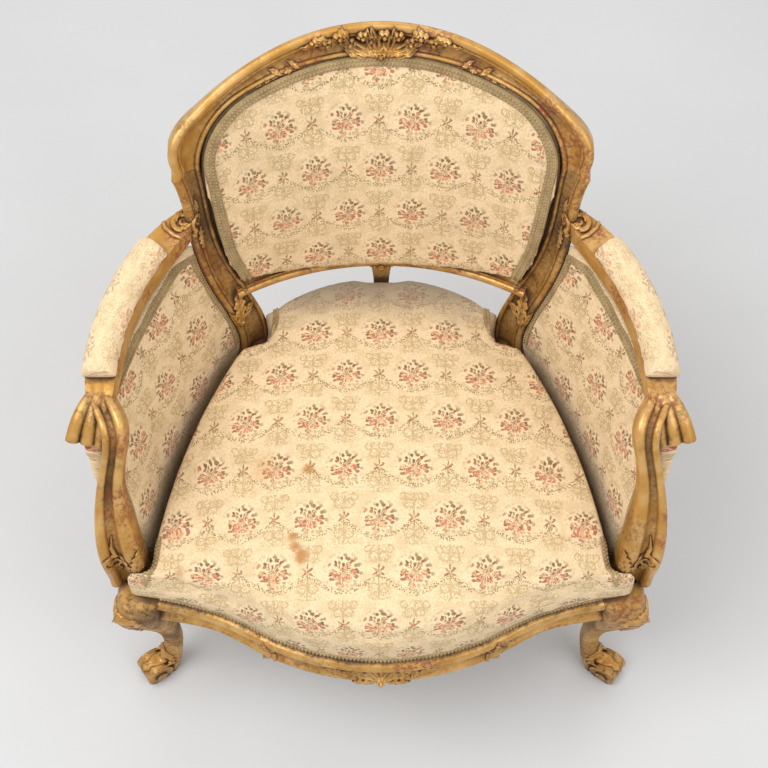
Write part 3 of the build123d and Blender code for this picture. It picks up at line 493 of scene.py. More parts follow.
def makeCover(name, flowers, soil, stains=(), rear=None):
    material, tree, shader = newMaterial(name)
    place = objectSpace(tree)
    look = useGroup(tree, floralGroup, Vector=uvSpace(tree), Place=place, Flowers=flowers, Soil=soil)
    color = look.outputs["Color"]
    x, y, _ = apart(tree, place)
    for middleX, middleY, size, strength in stains:
        middle = spot(middleX, middleY, 0.0)
        away = vectorMath(tree, "DISTANCE", together(tree, x, y), middle).outputs["Value"]
        ragged = calc(tree, "MULTIPLY_ADD", noise(tree, place, 60.0, 3.0), size * 1.2 * mm, away)
        stain = ramp(tree, ragged, size * 1.5 * mm, size * 0.7 * mm, 0.0, strength)
        color = tint(tree, stain, color, clothLook["rust"])
    if rear:  # soil and painted shade gather along the back edge
        ragged = calc(tree, "MULTIPLY_ADD", noise(tree, place, 22.0, 4.0), 0.05, y)
        start, full = spot(0.0, rear["start"], 0.0).y, spot(0.0, rear["full"], 0.0).y
        color = tint(tree, ramp(tree, ragged, start, full, 0.0, rear["strength"]), color, clothLook["grimeAndShade"])
    tree.links.new(color, shader.inputs["Base Color"])
    shader.inputs["Roughness"].default_value = 0.88
    shader.inputs["Sheen Weight"].default_value = 0.10
    shader.inputs["Specular IOR Level"].default_value = 0.2
    addBump(tree, shader, look.outputs["Height"], clothLook["bump"], 0.45)
    return material


# x, y and size in millimetres, and strength: one long orange-brown stain and small ones
seatStains = [
    (-116, -227, 12, 0.80), (-110, -240, 14, 0.85), (-104, -253, 17, 0.85),
    (-98, -132, 14, 0.70), (-159, -126, 30, 0.35), (-264, -264, 12, 0.50),
]
# darker band at the seat's back edge: soil with painted shade where the seat meets the back
seatRearSoilAndShade = {"start": 105.0, "full": 205.0, "strength": 0.85}
seatCloth = makeCover("floralSeatCover", flowers=1.0, soil=0.45, stains=seatStains, rear=seatRearSoilAndShade)
coverCloth = makeCover("floralCover", flowers=1.0, soil=0.55)
padCloth = makeCover("armPadCover", flowers=0.55, soil=0.65)


def makeThread(name, dark, light, scale, rough):
    material, tree, shader = newMaterial(name)
    place = objectSpace(tree)
    fibre = noise(tree, place, scale, 4.0, 0.6)
    patch = noise(tree, place, scale / 9, 2.0)
    mixed = calc(tree, "MULTIPLY_ADD", patch, 0.5, times(tree, fibre, 0.5))
    tree.links.new(tint(tree, ramp(tree, mixed, 0.32, 0.66), dark, light), shader.inputs["Base Color"])
    tree.links.new(ramp(tree, fibre, 0.2, 0.8, rough - 0.1, rough + 0.08), shader.inputs["Roughness"])
    addBump(tree, shader, fibre, 0.0008, 0.6)
    return material


# dark and light colour, scale of the fibres, roughness
threadLook = {
    "gimpBraid": (rgb(0.52, 0.375, 0.185), rgb(0.78, 0.60, 0.335), 420.0, 0.8),
    # darker copy of the braid thread for the strip under the beads: painted shade between the beads
    "gimpShadeGround": (rgb(0.27, 0.185, 0.085), rgb(0.45, 0.325, 0.160), 420.0, 0.85),
    "juteHessian": (rgb(0.21, 0.135, 0.06), rgb(0.43, 0.31, 0.165), 380.0, 0.88),
    "juteWebbing": (rgb(0.28, 0.19, 0.09), rgb(0.52, 0.39, 0.215), 260.0, 0.86),
}
threads = {name: makeThread(name, *look) for name, look in threadLook.items()}
braidThread, braidShadeGround = threads["gimpBraid"], threads["gimpShadeGround"]
juteHessian, juteWebbing = threads["juteHessian"], threads["juteWebbing"]
print("materials made")


# geometry trees


def newGeometryTree(name, kinds):
    # geometry in and out, with named inputs of these kinds; ports are the inputs' identifiers
    tree = bpy.data.node_groups.new(name, "GeometryNodeTree")
    tree.interface.new_socket("Geometry", in_out="INPUT", socket_type="NodeSocketGeometry")
    ports = {}
    for label, kind in kinds.items():
        socket = tree.interface.new_socket(label, in_out="INPUT", socket_type="NodeSocket" + kind)
        ports[label] = socket.identifier
    tree.interface.new_socket("Geometry", in_out="OUTPUT", socket_type="NodeSocketGeometry")
    return tree, ports, tree.nodes.new("NodeGroupInput"), tree.nodes.new("NodeGroupOutput")


def joinUp(tree, *links):
    for out, into in links:
        tree.links.new(out, into)


def useTree(piece, tree, ports, values):
    modifier = piece.modifiers.new(tree.name, "NODES")
    modifier.node_group = tree
    for label, value in values.items():
        modifier[ports[label]] = value


# frame pieces carried over from the drawing

smoothLook = {"Merge Distance": 0.00002, "Sharp Angle": radians(38.0)}


def makeSmoothTree():
    tree, ports, given, made = newGeometryTree(
        "smoothFacets", {"Merge Distance": "Float", "Sharp Angle": "Float"})
    merge = tree.nodes.new("GeometryNodeMergeByDistance")
    faces = tree.nodes.new("GeometryNodeSetShadeSmooth")
    edges = tree.nodes.new("GeometryNodeSetShadeSmooth")
    edges.domain = "EDGE"
    edges.inputs["Shade Smooth"].default_value = False
    angle = tree.nodes.new("GeometryNodeInputMeshEdgeAngle")
    sharp = tree.nodes.new("FunctionNodeCompare")
    sharp.operation = "GREATER_THAN"
    joinUp(
        tree,
        (given.outputs["Geometry"], merge.inputs[0]),
        (given.outputs["Merge Distance"], merge.inputs["Distance"]),
        (angle.outputs["Unsigned Angle"], sharp.inputs[0]), (given.outputs["Sharp Angle"], sharp.inputs[1]),
        (merge.outputs[0], faces.inputs["Geometry"]), (faces.outputs[0], edges.inputs["Geometry"]),
        (sharp.outputs[0], edges.inputs["Selection"]), (edges.outputs[0], made.inputs[0]),
    )
    return tree, ports


nodeLooks = [  # words in a node's name and its finish, where the first match holds
    (("front_leg", "rear_leg"), legGilt),
    (("rear_seat_rail", "corner_blocks", "frame_dowels"), plainWood),
    (("seat_rail", "crest", "lower_back", "back_strut", "arm_post", "arm_left", "arm_right"), frameGilt),
    (("webbing",), juteWebbing),
    (("hessian", "stuffing"), juteHessian),
    (("gimp",), braidThread),
    (("cover",), coverCloth),
]
smoothTree, smoothPorts = makeSmoothTree()
for nodeName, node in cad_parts.items():
    node.data.materials.clear()
    node.data.materials.append(next(look for words, look in nodeLooks if any(w in nodeName for w in words)))
    useTree(node, smoothTree, smoothPorts, smoothLook)
print("frame dressed")


def smoothFaces(mesh):
    for polygon in mesh.polygons:
        polygon.use_smooth = True


def finishPiece(name, mesh, material):
    piece = bpy.data.objects.new(name, mesh)
    scene.collection.objects.link(piece)
    mesh.materials.clear()
    mesh.materials.append(material)
    smoothFaces(mesh)
    return piece


# carving: each ornament is a list of reliefs in millimetres, laid on the wood


def leaf(x, y, turn, length, width, height, lobes=4, curl=0.0):
    # pointed leaf with a serrated edge, a middle vein and side ribs
    aim = radians(turn)

    def relief(u, v):
        along = ((u - x) * cos(aim) + (v - y) * sin(aim)) / length
        run = np.clip(along, 0, 1)
        across = -(u - x) * sin(aim) + (v - y) * cos(aim) - curl * length * run ** 2
        bell = np.sin(pi * run) ** 0.75 * (1 - 0.35 * run)
        half = width / 2 * bell * (1 + 0.22 * np.cos(2 * pi * lobes * along)) + 1e-6
        share = np.abs(across) / half
        body = np.sqrt(np.clip(1 - share ** 2, 0, 1))
        ribs = 0.16 * np.cos(2 * pi * lobes * (along - 0.25 * share))
        vein = 0.30 * np.exp(-(across / (0.07 * width)) ** 2)
        inside = (along > 0) & (along < 1) & (share < 1)
        return np.where(inside, height * body * (0.84 + ribs - vein), 0)

    return relief


def flower(x, y, radius, height, petals=5, turn=0.0):
    # cupped petals round a raised heart
    def relief(u, v):
        away = np.hypot(u - x, v - y) / radius
        angle = np.arctan2(v - y, u - x) + radians(turn)
        lobe = np.abs(np.cos(petals * angle / 2))
        share = away / (0.72 + 0.28 * lobe ** 0.6)
        cup = np.sqrt(np.clip(1 - share ** 2, 0, 1)) * (0.62 + 0.38 * lobe ** 0.5)
        inner = np.where(away < 0.55, 0.22 * np.abs(np.cos(petals * angle / 2 + pi / 4)), 0)
        heart = 0.55 * np.exp(-(away / 0.20) ** 2) - 0.35 * np.exp(-((away - 0.34) / 0.09) ** 2)
        return np.where(share < 1, height * np.clip(cup + heart + inner, 0.05, 1.4), 0)

    return relief


def stroke(line, widths, height, groove=0.0):
    # rounded stem, ribbon or scroll along a line of points
    points = np.array(line, float)
    count = len(points) - 1

    def relief(u, v):
        best, wide = np.full(u.shape, 1e9), np.full(u.shape, 1.0)
        for i in range(count):
            a, b = points[i], points[i + 1]
            run = b - a
            share = np.clip(((u - a[0]) * run[0] + (v - a[1]) * run[1]) / (run @ run + 1e-9), 0, 1)
            away = np.hypot(u - a[0] - share * run[0], v - a[1] - share * run[1])
            half = np.interp((i + share) / count, np.linspace(0, 1, len(widths)), widths) / 2
            closer = away / half < best
            best = np.where(closer, away / half, best)
            wide = np.where(closer, half, wide)
        body = np.sqrt(np.clip(1 - best ** 2, 0, 1)) - groove * np.exp(-(best / 0.35) ** 2)
        return np.where(best < 1, np.minimum(height, wide * 1.2) * body, 0)

    return relief


def spiral(x, y, radius, turns, start, shrink=0.18, way=1, steps=40):
    # points of a scroll, from its outside to its eye
    points = []
    for i in range(steps + 1):
        share = i / steps
        angle = radians(start) + way * 2 * pi * turns * share
        reach = radius * (1 - (1 - shrink) * share)
        points.append((x + reach * cos(angle), y + reach * sin(angle)))
    return points


def shell(x, y, turn, radius, spread, height, flutes=7):
    # fluted fan
    def relief(u, v):
        angle = np.arctan2(v - y, u - x) - radians(turn)
        share = ((angle + pi) % (2 * pi) - pi) / (radians(spread) / 2)
        away = np.hypot(u - x, v - y) / radius
        edge = 1 - 0.10 * np.abs(np.sin(flutes * pi * share / 2))
        inside = (np.abs(share) < 1) & (away < edge)
        ridge = 0.5 + 0.5 * np.abs(np.cos(flutes * pi * share / 2))
        dome = np.sqrt(np.clip(1 - (away / edge) ** 4, 0, 1)) * (0.45 + 0.55 * away)
        return np.where(inside, height * ridge * dome * np.sqrt(np.clip(1 - share ** 6, 0, 1)), 0)

    return relief


def bothSides(partsAt):
    return partsAt(-1) + partsAt(1)


def nodeTree(names):
    verts, polygons = [], []
    for name in names:
        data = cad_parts[name].data
        start = len(verts)
        verts += [v.co.copy() for v in data.vertices]
        polygons += [[start + i for i in p.vertices] for p in data.polygons]
    return BVHTree.FromPolygons(verts, polygons)


def neighbours(grid, **filling):
    padded = np.pad(grid, 1, **filling)
    return padded[:-2, 1:-1], padded[2:, 1:-1], padded[1:-1, :-2], padded[1:-1, 2:]


def blurred(grid, rounds):
    for _ in range(rounds):
        above, below, left, right = neighbours(grid, mode="edge")
        grid = (above + below + left + right + 2 * grid) / 6
    return grid


# search either side of the wood, depth let into it, least height kept, grid step and reach past an edge in
# millimetres, and rounds of softening for the ground
carvingLook = {"search": 60.0, "sink": 3.0, "least": 0.25, "step": 0.9, "overhang": 0.0, "soften": 10}


def dropOnto(tree, near, placeAt, facing, look):
    # height of the wood over the grid's plane, carried on past its edge where the ornament overhangs
    base = np.full(near.shape, np.nan)
    search = look["search"]
    for j, i in zip(*np.nonzero(near)):
        hit = tree.ray_cast(placeAt(j, i, search), -facing, 2 * search * mm)
        if hit[0] is not None:
            base[j, i] = search - hit[3] / mm
    for _ in range(int(look["overhang"] / look["step"])):
        around = np.stack(neighbours(base, constant_values=np.nan))
        count = (~np.isnan(around)).sum(0)
        reached = np.isnan(base) & (count > 0)
        base[reached] = np.nansum(around, 0)[reached] / count[reached]
    return base


def closedRelief(wanted, top, low, placeAt):
    # upper and lower skins over the wanted grid points, with walls round their edges
    verts, index = [], {}
    for layer, heights in enumerate((top, low)):
        for j, i in zip(*np.nonzero(wanted)):
            index[(layer, j, i)] = len(verts)
            verts.append(placeAt(j, i, heights[j, i]))
    faces = []
    whole = wanted[:-1, :-1] & wanted[1:, :-1] & wanted[:-1, 1:] & wanted[1:, 1:]
    rows, columns = whole.shape
    for j, i in zip(*np.nonzero(whole)):
        corners = [(j, i), (j, i + 1), (j + 1, i + 1), (j + 1, i)]
        faces.append([index[(0, *c)] for c in corners])
        faces.append([index[(1, *c)] for c in reversed(corners)])
        for k, (dj, di) in enumerate(((-1, 0), (0, 1), (1, 0), (0, -1))):
            nj, ni = j + dj, i + di
            if not (0 <= nj < rows and 0 <= ni < columns and whole[nj, ni]):
                a, b = corners[k], corners[(k + 1) % 4]
                faces.append([index[(0, *b)], index[(0, *a)], index[(1, *a)], index[(1, *b)]])
    return verts, faces


def carve(name, carriers, ornament, origin, facing, up=worldUp, both=False):
    # reliefs over a grid, dropped along the facing direction onto the wood; both adds the left one
    look = {**carvingLook, **ornament}
    facing = facing.normalized()
    side = up.cross(facing).normalized()
    upright = facing.cross(side).normalized()
    us, vs = (np.arange(-look[k] / 2, look[k] / 2 + look["step"], look["step"]) for k in ("wide", "tall"))

    def placeAt(j, i, height):
        return origin + (side * us[i] + upright * vs[j] + facing * height) * mm

    u, v = np.meshgrid(us, vs)
    height = np.max([relief(u, v) for relief in look["parts"]], axis=0)
    wanted = height > look["least"]
    near = blurred(wanted.astype(float), 3) > 0.01
    base = dropOnto(nodeTree(carriers), near, placeAt, facing, look)
    known = ~np.isnan(base)
    wanted &= known
    if not wanted.any():
        raise RuntimeError(name + " found no wood to sit on")
    filled = np.where(known, base, np.median(base[known]))
    top = np.maximum(filled, blurred(filled, look["soften"])) + height
    verts, faces = closedRelief(wanted, top, filled - look["sink"], placeAt)
    mesh = bpy.data.meshes.new(name)
    mesh.from_pydata(verts, [], faces)
    work = bmesh.new()
    work.from_mesh(mesh)
    bmesh.ops.delete(work, geom=[p for p in work.verts if not p.link_faces], context="VERTS")
    if both:
        twin = bmesh.ops.duplicate(work, geom=work.verts[:] + work.edges[:] + work.faces[:])["geom"]
        for vert in [g for g in twin if isinstance(g, bmesh.types.BMVert)]:
            vert.co.x = -vert.co.x
        bmesh.ops.reverse_faces(work, faces=[g for g in twin if isinstance(g, bmesh.types.BMFace)])
    work.to_mesh(mesh)
    work.free()
    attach(finishPiece(name, mesh, carvingGilt), "root")


def onBackAt(ornament):
    return backSpot(ornament["x"], ornament["level"]), backFacing(ornament["x"]), backUp


# spray of curling leaves from the crest's inner moulding, flowers beside and between them
crestCarving = {
    "x": 0.0, "level": 362.0, "wide": 204.0, "tall": 92.0, "soften": 30, "overhang": 5.0,
    "parts": [
        leaf(-2, -26, 96, 50, 21, 11.5, 3, 0.10), flower(0, -20, 10, 10.0, 5, 40),
        flower(5, 10, 10, 12.5, 5, 10), flower(-12, 2, 9, 12.0, 5, 30),
    ] + bothSides(lambda s: [
        leaf(s * 4, -24, 90 - s * 28, 47, 19, 11.0, 3, s * 0.22),
        leaf(s * 6, -20, 90 - s * 58, 50, 19, 10.5, 3, -s * 0.24),
        leaf(s * 6, -22, 90 - s * 86, 42, 17, 9.0, 3, s * 0.18),
        flower(s * 22, 8, 9.5, 12.0, 5, 20), flower(s * 38, -4, 10.5, 11.0, 5, 0),
        flower(s * 50, 9, 11.5, 10.5, 6, 30), flower(s * 66, -2, 11.5, 10.0, 5, 10),
        flower(s * 80, 4, 9.5, 8.5, 5, 40),
        leaf(s * 40, 6, 90 - s * 40, 18, 14, 9.0, 2, s * 0.2),
        leaf(s * 54, 2, 90 - s * 118, 30, 14, 8.0, 3, s * 0.15),
        leaf(s * 64, 4, 90 - s * 62, 22, 14, 8.0, 2, -s * 0.2),
        leaf(s * 78, 0, 90 - s * 100, 24, 12, 7.0, 2, s * 0.15),
        stroke([(s * 10, -12), (s * 40, 0), (s * 66, 2), (s * 84, -4)], [6, 5, 4, 3], 6.0),
    ]),
}
carve("crestCarving", ["crest_rail"], crestCarving, *onBackAt(crestCarving))

crestSprays = {
    "x": 122.0, "level": 322.0, "wide": 92.0, "tall": 40.0,
    "parts": [
        stroke([(-38, 10), (-14, 8), (10, 2), (34, -9)], [2.2, 3.4, 3.0, 2.0], 3.2),
        leaf(-22, 9, 35, 20, 9, 3.8, 3), leaf(-18, 8, -40, 18, 8, 3.4, 3),
        leaf(2, 5, 25, 20, 9, 3.8, 3), leaf(6, 2, -62, 18, 8, 3.4, 3),
        flower(-6, 7, 6.5, 4.2, 5), flower(22, -4, 5.5, 3.6, 5, 30), leaf(26, -5, -10, 16, 7, 3.0, 3),
    ],
}
carve("crestSprays", ["crest_rail"], crestSprays, *onBackAt(crestSprays), both=True)

armRootCarving = {
    "x": 240.0, "level": 138.0, "wide": 44.0, "tall": 92.0,
    "parts": [
        stroke(spiral(2, 12, 12, 1.15, -60, 0.2, 1), [7, 5, 3.5], 5.5),
        leaf(0, 4, -98, 42, 17, 5.5, 5, 0.1), leaf(-2, 22, 84, 22, 12, 4.5, 3),
        leaf(6, 6, -60, 26, 10, 4.5, 4),
    ],
}
carve("armRootCarving", ["rear_leg_right"], armRootCarving, *onBackAt(armRootCarving), both=True)

stileFootCarving = {
    "x": 200.0, "level": -28.0, "wide": 46.0, "tall": 84.0,
    "parts": [
        leaf(0, -34, 90, 62, 27, 6.5, 5), leaf(-8, -30, 112, 34, 13, 5.5, 4),
        leaf(8, -30, 68, 34, 13, 5.5, 4),
        flower(0, -26, 8, 5.5, 5), stroke(spiral(-9, 22, 7, 1.1, 0, 0.2, 1), [4.5, 3], 4.0),
    ],
}
carve("stileFootCarving", ["rear_leg_right"], stileFootCarving, *onBackAt(stileFootCarving), both=True)

frontRailCarving = {
    "place": (0.0, -frontReach, 270.0), "facing": (0.0, -1.0, 0.0), "wide": 170.0, "tall": 56.0,
    "parts": [shell(0, -16, 90, 30, 150, 8.0, 7), flower(0, -12, 8, 8.5, 5)] + bothSides(lambda s: [
        leaf(s * 10, -8, 90 - s * 78, 46, 18, 6.5, 5, s * 0.14),
        leaf(s * 8, -14, 90 - s * 104, 40, 14, 5.5, 4, -s * 0.1),
        flower(s * 46, -6, 7.5, 5.0, 5), leaf(s * 48, -6, 90 - s * 84, 30, 11, 4.5, 4),
        stroke(spiral(s * 26, -18, 7, 1.0, 90, 0.2, -s), [4, 2.6], 4.0),
    ]),
}
carve("frontRailCarving", ["front_seat_rail"], frontRailCarving, spot(*frontRailCarving["place"]),
      Vector(frontRailCarving["facing"]))

# the rail's front is bent round a middle behind it
frontRailFlowers = {
    "x": 152.0, "bend": 365.0, "z": 276.0, "wide": 92.0, "tall": 56.0,
    "parts": [
        flower(0, 2, 11, 7.0, 5), flower(14, -4, 8, 5.5, 5, 30), flower(-13, -5, 7.5, 5.0, 5, 15),
        leaf(12, 2, 12, 34, 13, 5.5, 4, -0.1), leaf(-12, 0, 172, 34, 13, 5.5, 4, 0.1),
        leaf(2, 8, 70, 18, 10, 5.0, 3), leaf(-4, -8, 250, 16, 9, 4.5, 3),
    ],
}
railTurn = asin(frontRailFlowers["x"] / frontRailFlowers["bend"])
railY = -frontReach + frontRailFlowers["bend"] * (1 - cos(railTurn))
railSpot = spot(frontRailFlowers["x"], railY, frontRailFlowers["z"])
carve("frontRailFlowers", ["front_seat_rail"], frontRailFlowers, railSpot,
      Vector((sin(railTurn), -cos(railTurn), 0.0)), both=True)

kneeCarving = {
    "leg": (328.4, -257.6), "turn": radians(35.0), "rise": 0.12, "out": 30.0, "z": 248.0,
    "wide": 66.0, "tall": 110.0, "step": 1.0,
    "parts": [
        shell(0, 6, 90, 32, 170, 7.0, 7), stroke(spiral(-16, 6, 11, 1.2, 40, 0.2, 1), [7, 5, 3], 5.5),
        stroke(spiral(16, 6, 11, 1.2, 140, 0.2, -1), [7, 5, 3], 5.5), leaf(0, 8, -90, 56, 24, 6.5, 5),
        leaf(-8, 2, -112, 32, 11, 4.5, 4), leaf(8, 2, -68, 32, 11, 4.5, 4), flower(0, 8, 8, 7.0, 5),
    ],
}
kneeFacing = Vector((cos(kneeCarving["turn"]), -sin(kneeCarving["turn"]), kneeCarving["rise"]))
kneeSpot = spot(*kneeCarving["leg"], kneeCarving["z"]) + kneeFacing * kneeCarving["out"] * mm
carve("kneeCarving", ["front_leg_right"], kneeCarving, kneeSpot, kneeFacing, both=True)

footCarving = {
    "rise": 0.55, "out": 20.0, "z": 44.0, "wide": 40.0, "tall": 74.0, "step": 1.0,
    "parts": [
        leaf(0, 32, -90, 62, 24, 5.5, 5), leaf(-7, 22, -108, 34, 11, 4.0, 4),
        leaf(7, 22, -72, 34, 11, 4.0, 4),
    ],
}
footSpot = spot(*kneeCarving["leg"], footCarving["z"]) + kneeFacing * footCarving["out"] * mm
footFacing = Vector((kneeFacing.x, kneeFacing.y, footCarving["rise"]))
carve("footCarving", ["front_leg_right"], footCarving, footSpot, footFacing, both=True)

# +u is the outer side of the right post
postCarving = {
    "place": (338.0, -253.0, 402.0), "facing": (0.0, -1.0, 0.45), "wide": 62.0, "tall": 112.0,
    "parts": [
        stroke(spiral(13, -18, 15, 1.25, 100, 0.16, -1), [9, 6, 3.5], 6.0, 0.25),
        stroke([(10, -4), (13, 14), (11, 34)], [8, 6, 3], 4.5),
        leaf(-14, -46, 96, 66, 22, 6.0, 6, 0.08), leaf(-10, -44, 118, 40, 12, 5.0, 5),
        leaf(-8, -42, 74, 46, 13, 5.0, 5), leaf(6, -44, 60, 26, 11, 4.5, 4),
    ],
}
carve("postCarving", ["arm_post_right"], postCarving, spot(*postCarving["place"]),
      Vector(postCarving["facing"]), both=True)

# scroll and cupped leaf where the arm leaves the stile; +v runs forward along the arm
armCollar = {
    "place": (263.0, 131.0, 608.0), "facing": (0.1, -0.15, 1.0), "up": (0.68, -0.73, 0.0),
    "wide": 46.0, "tall": 52.0,
    "parts": [
        stroke(spiral(0, -6, 14, 1.25, 60, 0.16, 1), [9, 7, 5], 7.0, 0.15),
        stroke([(-19, 12), (-8, 16), (8, 16), (19, 12)], [6, 7, 7, 6], 5.5),
        leaf(12, -20, 100, 30, 12, 5.5, 3), leaf(-13, -20, 80, 30, 12, 5.5, 3),
    ],
}
carve("armCollarCarving", ["arm_right"], armCollar, spot(*armCollar["place"]), Vector(armCollar["facing"]),
      Vector(armCollar["up"]), both=True)

strutCarving = {
    "x": 0.0, "level": -8.0, "wide": 44.0, "tall": 34.0, "step": 0.8,
    "parts": [leaf(0, 10, -90, 26, 14, 5.0, 3), flower(0, 4, 6, 5.0, 5)] + bothSides(lambda s: [
        leaf(s * 3, 4, 90 - s * 95, 18, 9, 4.0, 3),
    ]),
}
carve("strutCarving", ["lower_back_rail", "back_strut"], strutCarving, *onBackAt(strutCarving))
print("carving laid on")


# padded pieces


def ease(value, low, high):
    share = min(1.0, max(0.0, (value - low) / (high - low)))
    return share * share * (3 - 2 * share)


def smoothed(mesh, rounds):
    work = bmesh.new()
    work.from_mesh(mesh)
    for _ in range(rounds):
        bmesh.ops.smooth_vert(work, verts=work.verts, factor=0.5,
                              use_axis_x=True, use_axis_y=True, use_axis_z=True)
    work.to_mesh(mesh)
    work.free()


def evaluatedMesh(piece):
    # the result of the piece's modifiers takes their place
    mesh = bpy.data.meshes.new_from_object(piece.evaluated_get(bpy.context.evaluated_depsgraph_get()))
    piece.modifiers.clear()
    piece.data = mesh
    return mesh


def padBlank(name, source, look, moved=None):
    # the CAD stuffing, remeshed evenly, rounded and drawn into shape
    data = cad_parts[source].data.copy()
    work = bmesh.new()
    work.from_mesh(data)
    bmesh.ops.remove_doubles(work, verts=work.verts, dist=smoothLook["Merge Distance"])
    work.to_mesh(data)
    work.free()
    blank = bpy.data.objects.new(name, data)
    scene.collection.objects.link(blank)
    remesh = blank.modifiers.new("even", "REMESH")
    remesh.mode = "VOXEL"
    remesh.voxel_size = look["voxel"] * mm
    made = evaluatedMesh(blank)
    made.name = name
    smoothed(made, look["rounds"])
    if moved:
        for vert in made.vertices:
            vert.co = moved(vert.co)
        smoothed(made, 2)
    return blank


clothRules = {
    "quality": 4, "mass": 0.3, "tension_stiffness": 12.0, "compression_stiffness": 12.0,
    "shear_stiffness": 8.0, "bending_stiffness": 0.6, "use_pressure": True, "vertex_group_mass": "tacked",
}


def swell(jobs, frames=20):
    # cloth under pressure, all pads in one run; tacked points stay on the frame
    starts = {}
    for pad, pinAt, look in jobs:
        mesh = pad.data
        starts[pad.name] = [v.co.copy() for v in mesh.vertices]
        group = pad.vertex_groups.new(name="tacked")
        for vert in mesh.vertices:
            group.add([vert.index], pinAt(vert.co, vert.normal), "REPLACE")
        cloth = pad.modifiers.new("cloth", "CLOTH")
        for label, value in clothRules.items():
            setattr(cloth.settings, label, value)
        cloth.settings.uniform_pressure_force = look["pressure"]
        cloth.settings.effector_weights.gravity = 0.0
        cloth.collision_settings.use_collision = False
        cloth.point_cache.frame_start = 1
        cloth.point_cache.frame_end = frames
    for step in range(1, frames + 1):
        scene.frame_set(step)
    graph = bpy.context.evaluated_depsgraph_get()
    results = {pad.name: [v.co.copy() for v in pad.evaluated_get(graph).data.vertices] for pad, _, _ in jobs}
    for pad, _, look in jobs:
        pad.modifiers.clear()
        pad.vertex_groups.clear()
        furthest, cap = 0.0, look["cap"] * mm
        for vert, start, end in zip(pad.data.vertices, starts[pad.name], results[pad.name]):
            move = end - start
            furthest = max(furthest, move.length)
            if move.length > cap:
                move = move.normalized() * cap
            vert.co = start + move
        smoothed(pad.data, 1)
        print(pad.name, "swelled by up to", round(furthest / mm, 1), "mm")
    scene.frame_set(1)


# millimetres; two numbers are where an effect starts and where it is full
seatPad = {
    "voxel": 5.0, "rounds": 6, "pressure": 3.5, "cap": 5.0, "fill": 0.8,
    "dome": 1350.0, "middleY": -85.0, "crown": 426.0, "patternY": 20.3,
    "rearPush": 6.0, "rearLift": 5.0, "rear": (60.0, 175.0), "top": (350.0, 385.0),
    "besideStrut": (18.0, 46.0), "corner": (135.0, 160.0),
    "cornerFrom": (130.0, 88.0, 325.0), "toStile": (135.0, 157.0), "stileGap": 18.0,
    "tackedBelow": 312.0, "tackedSidesFrom": -225.0, "tackedRearFrom": 150.0,
}
backPad = {
    "voxel": 4.5, "rounds": 3, "pressure": 3.0, "cap": 4.0, "fill": 0.7, "patternLevel": 64.2,
    "half": 205.0, "bottom": 22.0, "roll": 13.0, "rollTall": 60.0, "rollDepth": (3.0, 10.0),
    "tackedBelow": 40.0, "tackedHalf": 260.0,
}
sidePad = {
    "voxel": 4.5, "rounds": 3, "pressure": 3.0, "cap": 3.0, "fill": 0.6,
    "rearFoot": (200.7, 86.4), "frontFoot": (312.0, -253.0), "drawn": (3.0, 50.0), "stileGap": 32.0,
    "rearEdge": np.array([(302.0, 83.9), (344.5, 83.9), (420.7, 101.8), (471.9, 104.6), (547.7, 112.1),
                          (577.2, 115.2)]),  # height and y up the CAD panel's rear edge
}
armPad = {
    "voxel": 3.0, "rounds": 10, "pressure": 3.0, "cap": 3.0, "fill": 0.7,
    "rearEnd": (285.0, 112.0), "frontEnd": (352.0, -95.0), "girth": 22.0, "spread": 0.6,
}
sideNames = ("Right", "Left")
stileTrees = {True: nodeTree(["rear_leg_right"]), False: nodeTree(["rear_leg_left"])}


def drawn(p):
    # place in the drawing, in millimetres
    return p.x / mm, (p.y - yShift) / mm, p.z / mm


def seatMoved(p):
    # fuller towards the back, clear of the strut, and closed up to the stiles
    x, y, z = drawn(p)
    share = ease(y, *seatPad["rear"]) * ease(z, *seatPad["top"])
    push = seatPad["rearPush"] * share * ease(abs(x), *seatPad["besideStrut"])
    push *= 1 - 0.8 * ease(abs(x), *seatPad["corner"])
    placed = spot(x, y + push, z + seatPad["rearLift"] * share)
    if all(value > least for value, least in zip((abs(x), y, z), seatPad["cornerFrom"])):
        near = stileTrees[x > 0].find_nearest(placed)
        if near[3] < seatPad["stileGap"] * mm:
            placed = placed.lerp(near[0], 0.9 * ease(abs(x), *seatPad["toStile"]))
    return placed


def sideMoved(p):
    # the rear edge is drawn up to the stile
    _, y, z = drawn(p)
    edge = sidePad["rearEdge"]
    gap = float(np.interp(z, edge[:, 0], edge[:, 1])) - y
    if gap < sidePad["drawn"][1]:
        near = stileTrees[p.x > 0].find_nearest(p)
        if near[3] < sidePad["stileGap"] * mm:
            return p.lerp(near[0], 0.97 * (1 - ease(gap, *sidePad["drawn"])))
    return p


def backMoved(p):
    # the stuffing rolls down over the lower rail
    arc, level, depth = backPlace(p)
    rise = (level - backPad["bottom"]) / backPad["rollTall"]
    if rise < 1:
        fade = max(0.0, 1 - (arc / backPad["half"]) ** 2)
        level -= backPad["roll"] * fade * (1 - rise) ** 2 * ease(-depth, *backPad["rollDepth"])
    return backArc(arc, level, depth)


def seatPin(p, normal):
    _, y, z = drawn(p)
    beside = abs(normal.x) > 0.8 and y > seatPad["tackedSidesFrom"]
    return 1.0 if z < seatPad["tackedBelow"] or beside or y > seatPad["tackedRearFrom"] else 0.0


def backPin(p, normal):
    half = backPad["tackedHalf"]
    facing = normal.dot(backFacing(max(-half, min(half, p.x / mm))))
    return 0.0 if facing > 0.35 and backPlace(p)[1] > backPad["tackedBelow"] else 1.0


def sidePin(p, normal):
    return 0.0 if abs(normal.x) > 0.6 else 1.0


def armPin(p, normal):
    return 0.0 if normal.z > -0.2 else 1.0


